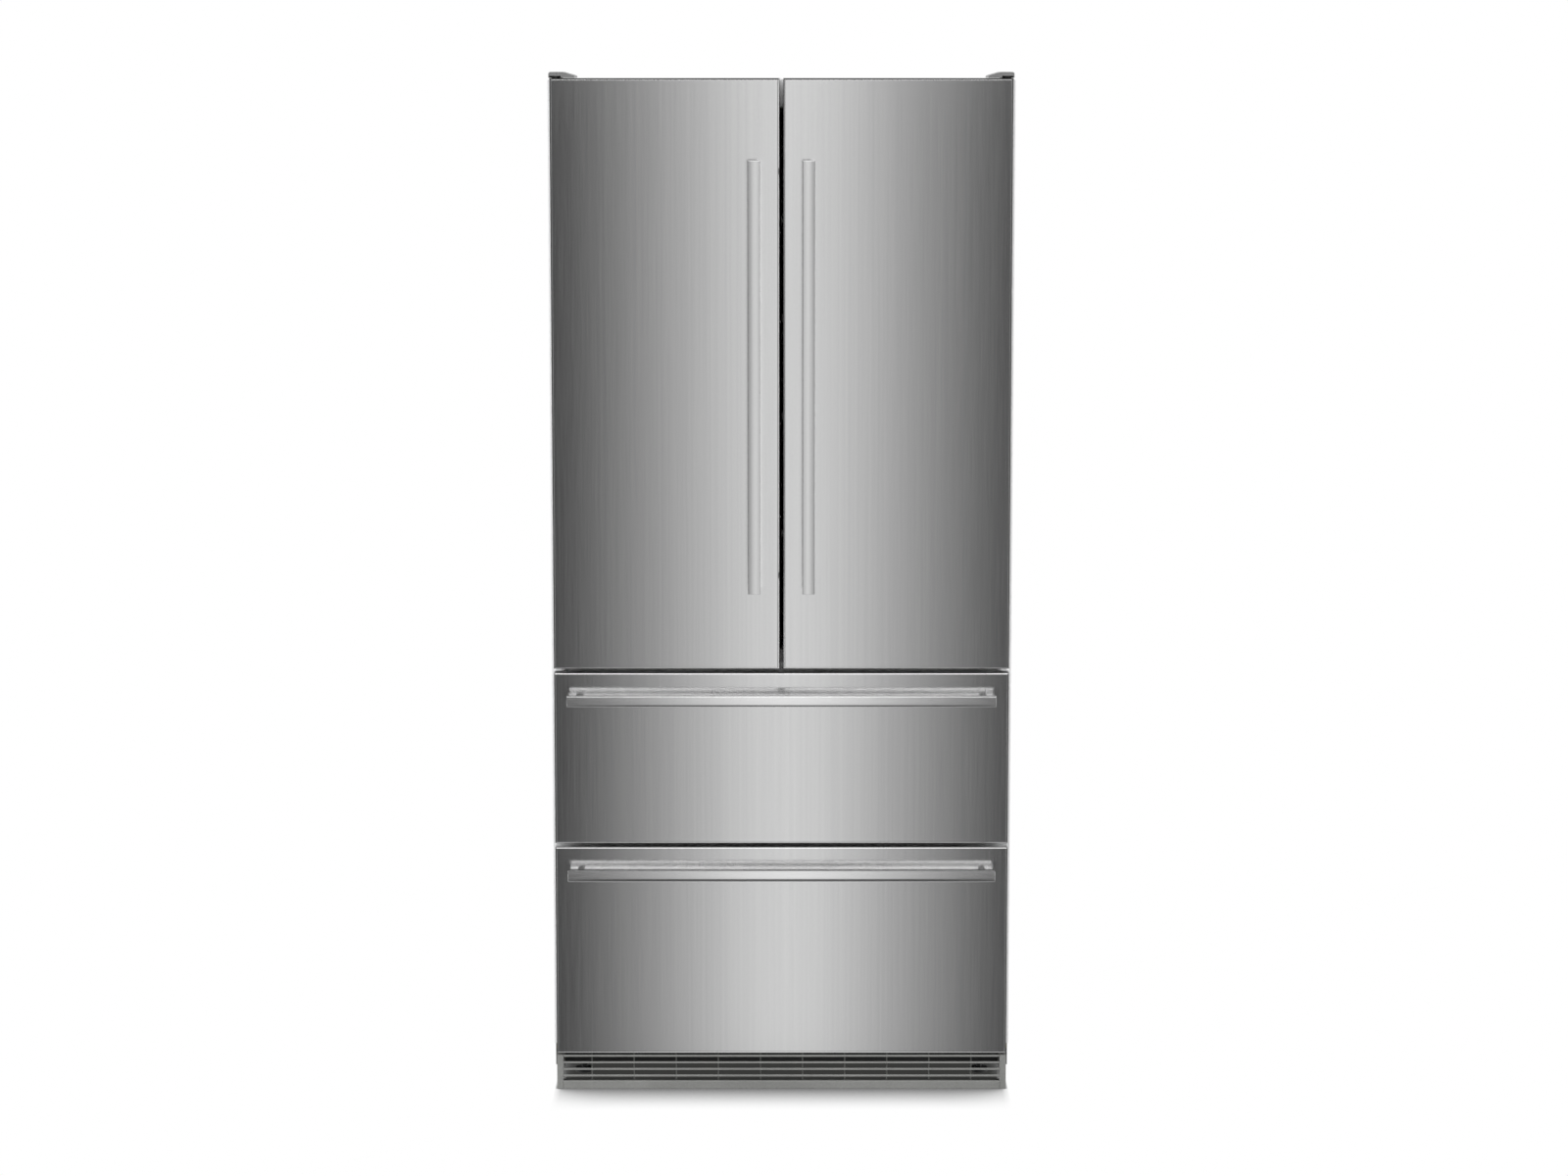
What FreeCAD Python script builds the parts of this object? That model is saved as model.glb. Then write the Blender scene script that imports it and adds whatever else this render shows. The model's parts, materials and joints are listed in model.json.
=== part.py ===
import FreeCAD, Part
import os
import re

import Sketcher

# Four-door refrigerator: two swinging doors over two drawers.
# Frame: millimetres, +Z up, the front looks along -Y, origin under the middle of the whole box.

SIZES = {
    # cabinet
    "cab_width": 910, "cab_depth": 556, "sheet": 1.2, "flange_width": 50, "top_drop": 2.3,
    "cab_low": 75, "rear_rib": 4, "rear_wall": 60, "shell_corner": 4,
    # fronts
    "front_reveal": 7.75, "door_thick": 62, "gasket_gap": 12, "handle_reach": 52, "centre_gap": 7.1,
    "lower_bottom": 73, "lower_height": 418.3, "drawer_gap": 7.3, "upper_height": 341.1,
    "door_gap": 7.6, "door_height": 1151, "skin": 1, "skin_fold": 48, "skin_round": 4,
    "gasket_inset": 22, "gasket_end": 8, "gasket_width": 16, "gasket_centre": 9, "seal_clear": 0.3,
    "groove": 4,
    # inner door walls and bins
    "dike_side": 10, "dike_centre": 62, "dike_wall": 26, "dike_depth": 62, "dike_round": 12,
    "bin_depth": 114, "bin_height": 112, "bin_wall": 2.5, "bin_round": 22, "bin_clear": 0.5,
    "bin_first": 230, "bin_top": 156.5, "bin_count": 3, "bin_lug": 8, "bin_lug_height": 40,
    # compartments
    "rail_height": 56, "rail_depth": 45, "rail_sheet": 2, "liner": 3, "floor_rise": 34,
    "machine_top": 285, "machine_depth": 211, "cavity_round": 18,
    # base
    "base_high": 62, "base_low": 30, "base_sheet": 1.5, "base_setback": 10, "cheek_high": 100,
    # shelves and crispers
    "shelf_front": 120, "shelf_back": 48, "shelf_glass": 4, "shelf_rim": 16, "shelf_rim_width": 12,
    "shelf_first": 450, "shelf_top": 231.5, "shelf_count": 3, "shelf_clear": 0.5,
    "ledge": 9, "ledge_height": 7,
    "crisper_top": 200, "crisper_back": 30, "crisper_wall": 3, "crisper_gap": 10,
    "crisper_side": 2, "crisper_set": 5, "slide_clear": 0.4, "grip_width": 120, "grip_high": 26,
    # handles
    "handle_width": 24.5, "handle_thick": 14, "handle_bow": 0.5, "handle_round": 4,
    "handle_edge": 5, "handle_slope": 7, "handle_x": 53, "handle_low": 154.7, "handle_top": 156.3,
    "drawer_handle_drop": 47.7, "drawer_handle_inset": 27.25,
    "post_inset": 24, "post_half": 4.2, "post_foot": 7,
    # hinges
    "hinge_edge": 8.75, "hinge_back": 27, "pin_radius": 4.5, "pin_clear": 0.05, "pin_length": 22,
    "hinge_plate": 3.2, "hinge_width": 24, "hinge_lift": 1, "hinge_reach": 90,
    "cover_width": 50, "cover_reach": 118, "cover_high": 11.7, "cover_low": 4, "cover_wall": 1.6,
    "cover_setback": 2, "middle_plate": 4, "middle_leg": 3, "middle_leg_width": 22,
    "middle_leg_high": 30,
    # flip mullion
    "mullion_short": 1, "mullion_width": 33, "mullion_thick": 16, "mullion_pin": 3, "mullion_ear": 6,
    "mullion_gap": 0.4,
    # drawer rails and baskets
    "slide_height": 46, "slide_sheet": 1.5, "slide_step": 4, "slide_flange": 12, "slide_fit": 0.5,
    "slide_back": 39, "slide_front": 14, "slide_mid_short": 14, "slide_drop": 62,
    "slide_shelf": 26, "basket_side": 27, "basket_lip": 3, "basket_wall": 2.5, "basket_floor": 26,
    "basket_round": 24, "basket_back": 44, "basket_step": 13, "basket_front": 16,
    "pad_inset": 45,
    # plinth
    "plinth_low": 0.5, "plinth_clear": 3.5, "plinth_back": 2, "plinth_cap": 13, "plinth_slats": 4,
    "slat_pitch": 13.4, "slat_thick": 2.6, "slat_depth": 16, "slat_lip": 4, "plinth_bar": 16,
    "plinth_bar_thick": 5, "rib_end": 56.25, "rib_count": 10, "rib_thick": 2.5, "rib_set": 9,
    # feet and rollers
    "foot_radius": 18, "foot_pad": 8, "foot_stem": 6, "foot_side": 55, "foot_back": 60,
    "roller_radius": 24, "roller_width": 20, "roller_axle": 4, "roller_side": 60, "roller_back": 62,
    "ear_thick": 3, "ear_clear": 0.4, "ear_width": 30,
    # machine space
    "comp_radius": 85, "comp_height": 165, "comp_side": 220, "comp_back": 112, "comp_plate": 3,
    "comp_feet": 160, "mount_half": 13, "mount_high": 15,
    "cond_left": 60, "cond_side": 95, "cond_high": 170, "cond_fins": 8, "fin_thick": 0.8,
    "cond_depth": 110, "tube_radius": 4, "coil_tubes": 2, "tray_high": 22, "tray_wall": 2,
    "tray_edge": 12, "cond_set": 38,
    "shroud_thick": 3, "shroud_x": 20, "fan_radius": 72, "fan_clear": 4, "fan_hub": 20,
    "fan_depth": 26, "motor_half": 24, "motor_depth": 34, "shaft_radius": 3, "shaft_clear": 0.05,
    "blade_thick": 2, "cover_sheet": 1.2, "cover_slots": 12, "slot_edge": 150, "slot_width": 10,
    "slot_high": 70, "gland_radius": 11, "gland_bore": 5, "gland_side": 125,
    # cold air parts
    "air_gap": 50, "air_sheet": 2.5, "air_edge": 64, "evap_side": 84, "evap_fins": 10,
    "evap_depth": 28, "evap_lift": 22, "cold_fan_drop": 78.5, "cold_fan_radius": 48, "cold_fan_depth": 16,
    "cold_motor_half": 16, "cold_motor_depth": 16, "duct_width": 240, "duct_depth": 20, "duct_vents": 5,
    "air_slots": 6, "vent_width": 90, "vent_high": 10,
    "light_width": 320, "light_depth": 120, "light_thick": 8, "light_round": 3,
}

# Places worked out from the sizes above; each word is a size or another place.
PLACES = {
    "rear_y": "(cab_depth + gasket_gap + door_thick + handle_reach)/2",
    "panel_y": "rear_y - rear_rib",
    "flange_y": "rear_y - cab_depth",
    "behind_flange_y": "flange_y + sheet",
    "back_y": "flange_y - gasket_gap",
    "face_y": "back_y - door_thick",
    "door_low": "upper_high + door_gap",
    "door_high": "door_low + door_height",
    "lower_high": "lower_bottom + lower_height",
    "upper_low": "lower_high + drawer_gap",
    "upper_high": "upper_low + upper_height",
    "cab_high": "door_high - top_drop",
    "cab_half": "cab_width/2",
    "inside_half": "cab_half - sheet",
    "open_half": "cab_half - flange_width",
    "front_half": "cab_half - front_reveal",
    "mid_rail_z": "door_low - door_gap/2",
    "low_rail_z": "upper_low - drawer_gap/2",
    "fridge_low": "mid_rail_z + rail_height/2",
    "fridge_high": "cab_high - flange_width",
    "upper_room_high": "mid_rail_z - rail_height/2",
    "upper_room_low": "low_rail_z + rail_height/2",
    "lower_room_high": "low_rail_z - rail_height/2",
    "lower_room_low": "lower_bottom + floor_rise",
    "liner_back_y": "rear_y - rear_wall",
    "machine_y": "rear_y - machine_depth",
    "base_front_y": "flange_y + base_setback",
    "hinge_x": "front_half - hinge_edge",
    "hinge_y": "face_y + hinge_back",
    "gasket_out": "front_half - gasket_inset",
    "dike_out": "open_half - dike_side",
    "dike_in": "dike_centre",
    "dike_low": "fridge_low + dike_side",
    "dike_high": "fridge_high - dike_side",
    "dike_y": "back_y + dike_depth",
    "shelf_y": "flange_y + shelf_front",
    "shelf_depth": "liner_back_y - liner - shelf_back - shelf_y",
    "shelf_pitch": "(fridge_high - liner - shelf_top - fridge_low - shelf_first)/(shelf_count - 1)",
    "bin_pitch": "(dike_high - dike_wall - bin_top - bin_height - fridge_low - bin_first)/(bin_count - 1)",
    "crisper_depth": "shelf_depth - crisper_set - crisper_back",
    "room_half": "open_half - liner",
    "duct_y": "liner_back_y - liner - duct_depth",
    "air_y": "liner_back_y - liner - air_gap",
    "air_half": "room_half - slide_shelf - slide_flange",
    "evap_half": "air_half - evap_side",
    "slide_length": "liner_back_y - liner - slide_back - flange_y - slide_front",
    "handle_length": "door_height - handle_low - handle_top",
    "drawer_handle_half": "front_half - drawer_handle_inset",
    "foot_x": "cab_half - foot_side",
    "roller_x": "cab_half - roller_side",
    "rib_pitch": "2*(front_half - plinth_cap - rib_end)/(rib_count - 1)",
    "comp_x": "cab_half - comp_side",
    "cond_right": "cab_half - cond_side",
    "slot_pitch": "2*(inside_half - slot_edge)/(cover_slots - 1)",
    "gland_x": "cab_half - gland_side",
    "air_pitch": "2*(air_half - air_edge)/air_slots",
}

doc = FreeCAD.newDocument("refrigerator")
sheet = doc.addObject("Spreadsheet::Sheet", "dims")
for row, (alias, number) in enumerate(SIZES.items(), start=1):
    sheet.set(f"A{row}", str(number))
    sheet.setAlias(f"A{row}", alias)
doc.recompute()


def ex(text):
    """Expression text with every size and place spelled out as sheet cells."""
    def spell(match):
        word = match.group(0)
        if word in PLACES:
            return "(" + ex(PLACES[word]) + ")"
        return "dims." + word if word in SIZES else word
    return re.sub(r"[a-z_]+", spell, str(text))


def value(text):
    """Number of an expression, for counts, fillets and shapes made in code."""
    return float(sheet.evalExpression(ex(text)))


def place(obj, x=0, y=0, z=0):
    """Bind where an object stands."""
    for axis, text in (("x", x), ("y", y), ("z", z)):
        obj.setExpression("Placement.Base." + axis, ex(text))
    return obj


def box(name, x, y, z):
    """Block between a low and a high end on each axis."""
    block = doc.addObject("Part::Box", name)
    for side, (low, high) in zip(("Length", "Width", "Height"), (x, y, z)):
        block.setExpression(side, ex(f"({high}) - ({low})"))
    return place(block, x[0], y[0], z[0])


def rod(name, axis, start, radius, length):
    """Round bar that runs from start along +x, +y or +z."""
    bar = doc.addObject("Part::Cylinder", name)
    turn = {"x": FreeCAD.Rotation(0, 90, 0), "y": FreeCAD.Rotation(0, 0, -90), "z": FreeCAD.Rotation()}
    bar.Placement = FreeCAD.Placement(FreeCAD.Vector(), turn[axis])
    bar.setExpression("Radius", ex(radius))
    bar.setExpression("Height", ex(length))
    return place(bar, *start)


def fuse(name, pieces):
    joined = doc.addObject("Part::MultiFuse", name)
    joined.Shapes = pieces
    return joined


def cut(name, base, tools):
    trimmed = doc.addObject("Part::Cut", name)
    trimmed.Base = base
    trimmed.Tool = tools[0] if len(tools) == 1 else fuse(name + "_tools", tools)
    return trimmed


def group(name, pieces):
    """Separate solids that share one node."""
    together = doc.addObject("Part::Compound", name)
    together.Links = pieces
    return together


def mirrored(name, source):
    """The same piece on the other side of the middle plane."""
    other = doc.addObject("Part::Mirroring", name)
    other.Source = source
    other.Normal = FreeCAD.Vector(1, 0, 0)
    return other


def rounded(name, base, radius, keep):
    """Round the edges of base that keep() accepts."""
    doc.recompute()
    edges = [i for i, edge in enumerate(base.Shape.Edges, start=1) if keep(edge)]
    soft = doc.addObject("Part::Fillet", name)
    soft.Base = base
    soft.Edges = [(i, value(radius), value(radius)) for i in edges]
    return soft


def runs_along(edge, axis):
    """True for a straight edge along x, y or z."""
    if edge.Curve.TypeId != "Part::GeomLine":
        return False
    return abs(getattr(edge.Curve.Direction, axis)) > 0.999


def outline(body, plane, points):
    """Closed sketch of straight lines; each corner is bound by two expressions."""
    sketch = body.newObject("Sketcher::SketchObject", body.Name + "_outline")
    support = [f for f in body.Origin.OriginFeatures if f.Role == plane][0]
    sketch.AttachmentSupport = [(support, "")]
    sketch.MapMode = "FlatFace"
    spots = [FreeCAD.Vector(value(x), value(y), 0) for x, y in points]
    count = len(spots)
    for i in range(count):
        sketch.addGeometry(Part.LineSegment(spots[i], spots[(i + 1) % count]), False)
    for i in range(count):
        sketch.addConstraint(Sketcher.Constraint("Coincident", i, 2, (i + 1) % count, 1))
    for i, corner in enumerate(points):
        for kind, text, now in zip(("DistanceX", "DistanceY"), corner, (spots[i].x, spots[i].y)):
            bound = sketch.addConstraint(Sketcher.Constraint(kind, -1, 1, i, 1, now))
            sketch.setExpression(f"Constraints[{bound}]", ex(text))
    return sketch


def pad(body, sketch, length, centred=False):
    feature = body.newObject("PartDesign::Pad", body.Name + "_pad")
    feature.Profile = sketch
    feature.setExpression("Length", ex(length))
    feature.Midplane = centred
    return feature


def extruded(name, plane, points, length, centred=False):
    """Body padded from one outline."""
    body = doc.addObject("PartDesign::Body", name)
    pad(body, outline(body, plane, points), length, centred)
    return body


def turned(name, points):
    """Body revolved about its own Z axis; points are (radius, height)."""
    body = doc.addObject("PartDesign::Body", name)
    spin = body.newObject("PartDesign::Revolution", name + "_turn")
    spin.Profile = outline(body, "XZ_Plane", points)
    spin.ReferenceAxis = ([f for f in body.Origin.OriginFeatures if f.Role == "Z_Axis"][0], [""])
    spin.Angle = 360
    return body


def soften(body, radius, keep):
    """Round the edges of a body's last feature that keep() accepts."""
    doc.recompute()
    base = body.Tip
    names = [f"Edge{i}" for i, e in enumerate(base.Shape.Edges, start=1) if keep(e)]
    soft = body.newObject("PartDesign::Fillet", body.Name + "_round")
    soft.Base = (base, names)
    soft.setExpression("Radius", ex(radius))
    body.Tip = soft
    return body


def hexagon(radius):
    """Corners of a hexagon about the origin."""
    return [(f"{x}*{radius}", f"{y}*{radius}*sin(60deg)") for x, y in (
        (1, 0), (0.5, 1), (-0.5, 1), (-1, 0), (-0.5, -1), (0.5, -1))]


OVER = 1  # how far a cutting tool runs past the face it opens


def both(half):
    """Range that is centred on the middle plane."""
    return f"-({half})", half


def past(low):
    """A little before the place where a cut starts."""
    return f"{low} - {OVER}"


# Cabinet shell: sides and top bent from one sheet, with a front return flange.
wrap = extruded("shell_wrap", "XZ_Plane", [
    ("-cab_half", "cab_low"), ("-cab_half", "cab_high"), ("cab_half", "cab_high"), ("cab_half", "cab_low"),
    ("inside_half", "cab_low"), ("inside_half", "cab_high - sheet"),
    ("-inside_half", "cab_high - sheet"), ("-inside_half", "cab_low")], "cab_depth")
place(wrap, 0, "rear_y", 0)
soften(wrap, "shell_corner - sheet", lambda e: runs_along(e, "y")
       and abs(e.CenterOfMass.z - value("cab_high - sheet")) < 0.01)
soften(wrap, "shell_corner", lambda e: runs_along(e, "y")
       and abs(e.CenterOfMass.z - value("cab_high")) < 0.01)
flange = extruded("shell_flange", "XZ_Plane", [
    ("-inside_half", "cab_low"), ("-inside_half", "cab_high - sheet"),
    ("inside_half", "cab_high - sheet"), ("inside_half", "cab_low"), ("open_half", "cab_low"),
    ("open_half", "fridge_high"), ("-open_half", "fridge_high"), ("-open_half", "cab_low")], "sheet")
place(flange, 0, "behind_flange_y", 0)
fuse("cabinet_shell", [wrap, flange])



def top_corners(edge):
    """Picks the two long edges under the cabinet top."""
    return runs_along(edge, "y") and abs(edge.CenterOfMass.z - value("cab_high - sheet")) < 0.01


# Rear panel with pressed beads that stiffen it.
panel = rounded("rear_sheet", box("rear_sheet_block", both("inside_half"), ("panel_y - sheet", "panel_y"),
                                  ("machine_top", "cab_high - sheet")), "shell_corner - sheet", top_corners)
BEADS = 5
bead_step = f"(cab_high - machine_top)/{BEADS + 1}"
beads = [box(f"rear_bead_{i}", both("inside_half - flange_width"), ("panel_y", "rear_y"),
             (f"machine_top + {i + 1}*{bead_step} - flange_width/4",
              f"machine_top + {i + 1}*{bead_step} + flange_width/4")) for i in range(BEADS)]
fuse("rear_panel", [panel] + beads)


def room(name, half, back, low, high, inset="0"):
    """Block of one compartment, open at the front flange."""
    return box(name, both(f"{half} - {inset}"), (past("behind_flange_y"), f"{back} - {inset}"),
               (f"{low} + {inset}", f"{high} - {inset}"))


def soft_room(name, *args):
    """Compartment space with rounded long corners."""
    return rounded(name, room(name + "_block", *args), "cavity_round", lambda e: runs_along(e, "y"))


step_y = "machine_y - rear_wall/2"
step_z = "machine_top + rear_wall/2"
FRIDGE = ("open_half", "liner_back_y", "fridge_low", "fridge_high")
UPPER = ("open_half", "liner_back_y", "upper_room_low", "upper_room_high")
LOWER = ("open_half", step_y, "lower_room_low", "lower_room_high")
LOWER_BACK = ("open_half", "liner_back_y", step_z, "lower_room_high")


def rail_space(name, low, high):
    return box(name, both("open_half"), ("flange_y", "flange_y + rail_depth"), (low, high))


RAILS = (("upper_room_high", "fridge_low"), ("lower_room_high", "upper_room_low"),
         ("cab_low", "lower_room_low"))

# Insulation foamed in place between the shell and the liners.
foam = rounded("foam", box("foam_block", both("inside_half - base_sheet"),
                           ("behind_flange_y", "panel_y - sheet"), ("base_high", "cab_high - sheet")),
               "shell_corner", top_corners)
foam_tools = [box("foam_toe", both("cab_half"), ("flange_y", "base_front_y"), ("base_low", "cab_low")),
              room("foam_fridge", *FRIDGE), room("foam_freezer", "open_half", "liner_back_y", step_z,
                                                 "upper_room_high"),
              room("foam_lower", *LOWER),
              box("foam_machine", both("cab_half"), ("machine_y", "rear_y"), ("base_low", "machine_top"))]
foam_tools += [rail_space(f"foam_rail_{i}", *ends) for i, ends in enumerate(RAILS)]
cut("cabinet_insulation", foam, foam_tools)

# Fridge liner with moulded ledges that carry the shelves.
cover_z = "fridge_low + liner + crisper_top + crisper_gap"
shelf_levels = [cover_z]
for i in range(SIZES["shelf_count"]):
    shelf_levels.append(f"fridge_low + shelf_first + {i}*shelf_pitch")
fridge_block = box("fridge_block", both("open_half"), ("behind_flange_y", "liner_back_y"),
                   ("fridge_low", "fridge_high"))
fridge_shell = cut("fridge_shell", fridge_block, [soft_room("fridge_room", *FRIDGE, "liner")])
ledges = []
for i, level in enumerate(shelf_levels):
    for side, ends in (("left", ("-room_half", "ledge - room_half")),
                       ("right", ("room_half - ledge", "room_half"))):
        ledges.append(box(f"ledge_{side}_{i}", ends, ("shelf_y", "shelf_y + shelf_depth"),
                          (f"{level} - ledge_height", level)))
fuse("fridge_liner", [fridge_shell] + ledges)

# Freezer liner: one moulding with two rooms, stepped over the machine space.
freezer_block = box("freezer_block", both("open_half"), ("behind_flange_y", "liner_back_y"),
                    ("lower_room_low", "upper_room_high"))
freezer_step = box("freezer_step", both("cab_half"), (step_y, "rear_y"), ("base_low", step_z))
cut("freezer_liner", freezer_block, [
    freezer_step, rail_space("freezer_rail", *RAILS[1]), soft_room("upper_room", *UPPER, "liner"),
    soft_room("lower_room", *LOWER, "liner"), soft_room("lower_room_back", *LOWER_BACK, "liner")])

# Cross rails: channels between the compartments, seats for the gaskets.
rails = []
for i, (low, high) in enumerate(RAILS):
    rail = extruded(f"cross_rail_{i}", "YZ_Plane", [
        ("flange_y", low), ("flange_y + rail_depth", low), ("flange_y + rail_depth", f"{low} + rail_sheet"),
        ("flange_y + rail_sheet", f"{low} + rail_sheet"), ("flange_y + rail_sheet", f"{high} - rail_sheet"),
        ("flange_y + rail_depth", f"{high} - rail_sheet"), ("flange_y + rail_depth", high),
        ("flange_y", high)], "2*open_half", centred=True)
    rails.append(rail)
group("cross_rails", rails)

# Base pan: a bent floor that drops under the machine space, cheeks, roller ears and wheel wells.
pan = extruded("pan_floor", "YZ_Plane", [
    ("base_front_y", "base_low"), ("base_front_y", "base_high"), ("machine_y", "base_high"),
    ("machine_y", "base_low"), ("panel_y - sheet", "base_low"),
    ("panel_y - sheet", "base_low - base_sheet"), ("machine_y - base_sheet", "base_low - base_sheet"),
    ("machine_y - base_sheet", "base_high - base_sheet"),
    ("base_front_y + base_sheet", "base_high - base_sheet"), ("base_front_y + base_sheet", "base_low")],
    "2*inside_half", centred=True)
roller_y = "rear_y - roller_back"
pan_pieces = [pan]
pan_tools = []
for side, sign in (("left", "-"), ("right", "")):
    middle = f"{sign}roller_x"
    cheek = ("-inside_half", "base_sheet - inside_half") if sign else ("inside_half - base_sheet",
                                                                       "inside_half")
    pan_pieces.append(box(f"cheek_{side}", cheek, ("base_front_y", "panel_y - sheet"),
                          ("base_low - base_sheet", "cheek_high")))
    for edge, flip in (("inner", -1), ("outer", 1)):
        near = f"{middle} + {flip}*(roller_width/2 + ear_clear)"
        far = f"{middle} + {flip}*(roller_width/2 + ear_clear + ear_thick)"
        pan_pieces.append(box(f"ear_{side}_{edge}", (near, far) if flip > 0 else (far, near),
                              (f"{roller_y} - ear_width/2", f"{roller_y} + ear_width/2"),
                              ("roller_radius - ear_width/3", "base_low")))
    pan_tools.append(box(f"well_{side}", (f"{middle} - roller_width/2 - ear_clear",
                                          f"{middle} + roller_width/2 + ear_clear"),
                         (f"{roller_y} - roller_radius - ear_thick",
                          f"{roller_y} + roller_radius + ear_thick"),
                         ("base_low - ear_width", "base_low + ear_width")))
    hole = "(roller_axle + pin_clear)"
    pan_tools.append(box(f"axle_hole_{side}", (f"{middle} - ear_width", f"{middle} + ear_width"),
                         (f"{roller_y} - {hole}", f"{roller_y} + {hole}"),
                         (f"roller_radius - {hole}", f"roller_radius + {hole}")))
cut("base_pan", fuse("pan_joined", pan_pieces), pan_tools)

# Rear rollers, each turned in one piece with its axle ends.
for side, sign in (("left", "-"), ("right", "")):
    wheel = turned(f"rear_roller_{side}", [
        ("0", "-roller_width/2 - ear_thick"), ("roller_axle", "-roller_width/2 - ear_thick"),
        ("roller_axle", "-roller_width/2"), ("roller_radius", "-roller_width/2"),
        ("roller_radius", "roller_width/2"), ("roller_axle", "roller_width/2"),
        ("roller_axle", "roller_width/2 + ear_thick"), ("0", "roller_width/2 + ear_thick")])
    wheel.Placement = FreeCAD.Placement(FreeCAD.Vector(), FreeCAD.Rotation(0, 90, 0))
    place(wheel, f"{sign}roller_x", roller_y, "roller_radius")

# Front levelling feet, screwed up into the base pan.
feet = []
for side, sign in (("left", "-"), ("right", "")):
    spot = (f"{sign}foot_x", "base_front_y + foot_back")
    stem = extruded(f"foot_stem_{side}", "XY_Plane", hexagon("foot_stem"), "base_high - base_sheet")
    place(stem, *spot, 0)
    disc = rod(f"foot_pad_{side}", "z", (*spot, 0), "foot_radius", "foot_pad")
    feet.append(fuse(f"foot_{side}", [stem, disc]))
group("front_feet", feet)

# Plinth grille: louvre slats on ribs, a solid bottom bar and two end caps.
plinth_y = "face_y + plinth_back"
plinth_high = "lower_bottom - plinth_clear"
grille = [extruded("plinth_bar_piece", "YZ_Plane", [
    (plinth_y, "plinth_low"), (plinth_y, "plinth_low + plinth_bar - slat_lip/2"),
    (f"{plinth_y} + slat_lip/2", "plinth_low + plinth_bar"),
    (f"{plinth_y} + slat_depth", "plinth_low + plinth_bar"),
    (f"{plinth_y} + slat_depth", "plinth_low + plinth_bar - plinth_bar_thick"),
    (f"{plinth_y} + plinth_bar_thick", "plinth_low + plinth_bar - plinth_bar_thick"),
    (f"{plinth_y} + plinth_bar_thick", "plinth_low")], "2*(front_half - plinth_cap)", centred=True)]
for i in range(SIZES["plinth_slats"]):
    top = f"{plinth_high} - {i}*slat_pitch"
    grille.append(extruded(f"plinth_slat_{i}", "YZ_Plane", [
        (plinth_y, top), (f"{plinth_y} + slat_depth", f"{top} - slat_lip"),
        (f"{plinth_y} + slat_depth", f"{top} - slat_lip - slat_thick"),
        (f"{plinth_y} + slat_thick", f"{top} - slat_lip"), (plinth_y, f"{top} - slat_lip")],
        "2*(front_half - plinth_cap)", centred=True))
for i in range(SIZES["rib_count"]):
    middle = f"({i} - (rib_count - 1)/2)*rib_pitch"
    grille.append(box(f"plinth_rib_{i}", (f"{middle} - rib_thick/2", f"{middle} + rib_thick/2"),
                      (f"{plinth_y} + rib_set", f"{plinth_y} + slat_depth"),
                      ("plinth_low + plinth_bar - plinth_bar_thick", plinth_high)))
for side, ends in (("left", ("-front_half", "plinth_cap - front_half")),
                   ("right", ("front_half - plinth_cap", "front_half"))):
    cap = box(f"plinth_cap_{side}_block", ends, (plinth_y, "base_front_y"), ("plinth_low", plinth_high))
    grille.append(rounded(f"plinth_cap_{side}", cap, "slat_lip/2", lambda e: runs_along(e, "z")
                          and abs(e.CenterOfMass.y - value(plinth_y)) < 0.01))
fuse("plinth_grille", grille)

# Top hinges: joggled plates on the cabinet top, each with a pin down into its door.
hinge_low = "door_high + hinge_lift"
hinge_high = "door_high + hinge_lift + hinge_plate"
hinge_x_ends = ("hinge_x - hinge_width/2", "hinge_x + hinge_edge")
hinge_end_y = "hinge_y + hinge_reach"


def nosed(name, ends, back, z):
    """Plate whose front corners are cut off round the hinge axis."""
    left, right = ends
    front = "hinge_y - hinge_width/2"
    bend = "hinge_y - hinge_width/5"
    plate = extruded(name, "XY_Plane", [
        (left, back), (left, bend), (f"{left} + hinge_width/4", front), (f"{right} - hinge_width/4", front),
        (right, bend), (right, back)], f"{z[1]} - ({z[0]})")
    return place(plate, 0, 0, z[0])


top_plate = nosed("top_plate", hinge_x_ends, hinge_end_y, (hinge_low, hinge_high))
top_foot = box("top_foot", hinge_x_ends, ("behind_flange_y", hinge_end_y), ("cab_high", hinge_low))
top_pin = rod("top_pin", "z", ("hinge_x", "hinge_y", f"{hinge_low} - pin_length"), "pin_radius",
              "pin_length + hinge_plate")
top_right = fuse("top_hinge_right", [top_plate, top_foot, top_pin])
group("top_hinges", [mirrored("top_hinge_left", top_right), top_right])

# Top hinge covers: open at the front and below, seated on the hinge plates.
cover_out = "hinge_x + hinge_edge + cover_wall"
cover_in = f"{cover_out} - cover_width"
cover_foot = "door_high + hinge_lift/2"
cover_front = "face_y + cover_setback"
cover_form = extruded("cover_form", "XZ_Plane", [
    (cover_in, cover_foot), (cover_in, f"{cover_foot} + cover_low"),
    (f"{cover_in} + cover_width/2", "door_high + cover_high"), (cover_out, "door_high + cover_high"),
    (cover_out, cover_foot)], "cover_reach")
place(cover_form, 0, f"{cover_front} + cover_reach", 0)
soften(cover_form, "cover_low", lambda e: runs_along(e, "y")
       and e.CenterOfMass.z > value(f"{cover_foot} + cover_low/2"))
cover_space = box("cover_space", ("hinge_x - hinge_width/2 - cover_wall", f"{cover_out} - cover_wall"),
                  (past(cover_front), "hinge_y + hinge_reach"), (past(cover_foot), hinge_high))
cover_right = cut("top_cover_right", cover_form, [cover_space])
group("top_hinge_covers", [mirrored("top_cover_left", cover_right), cover_right])

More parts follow.
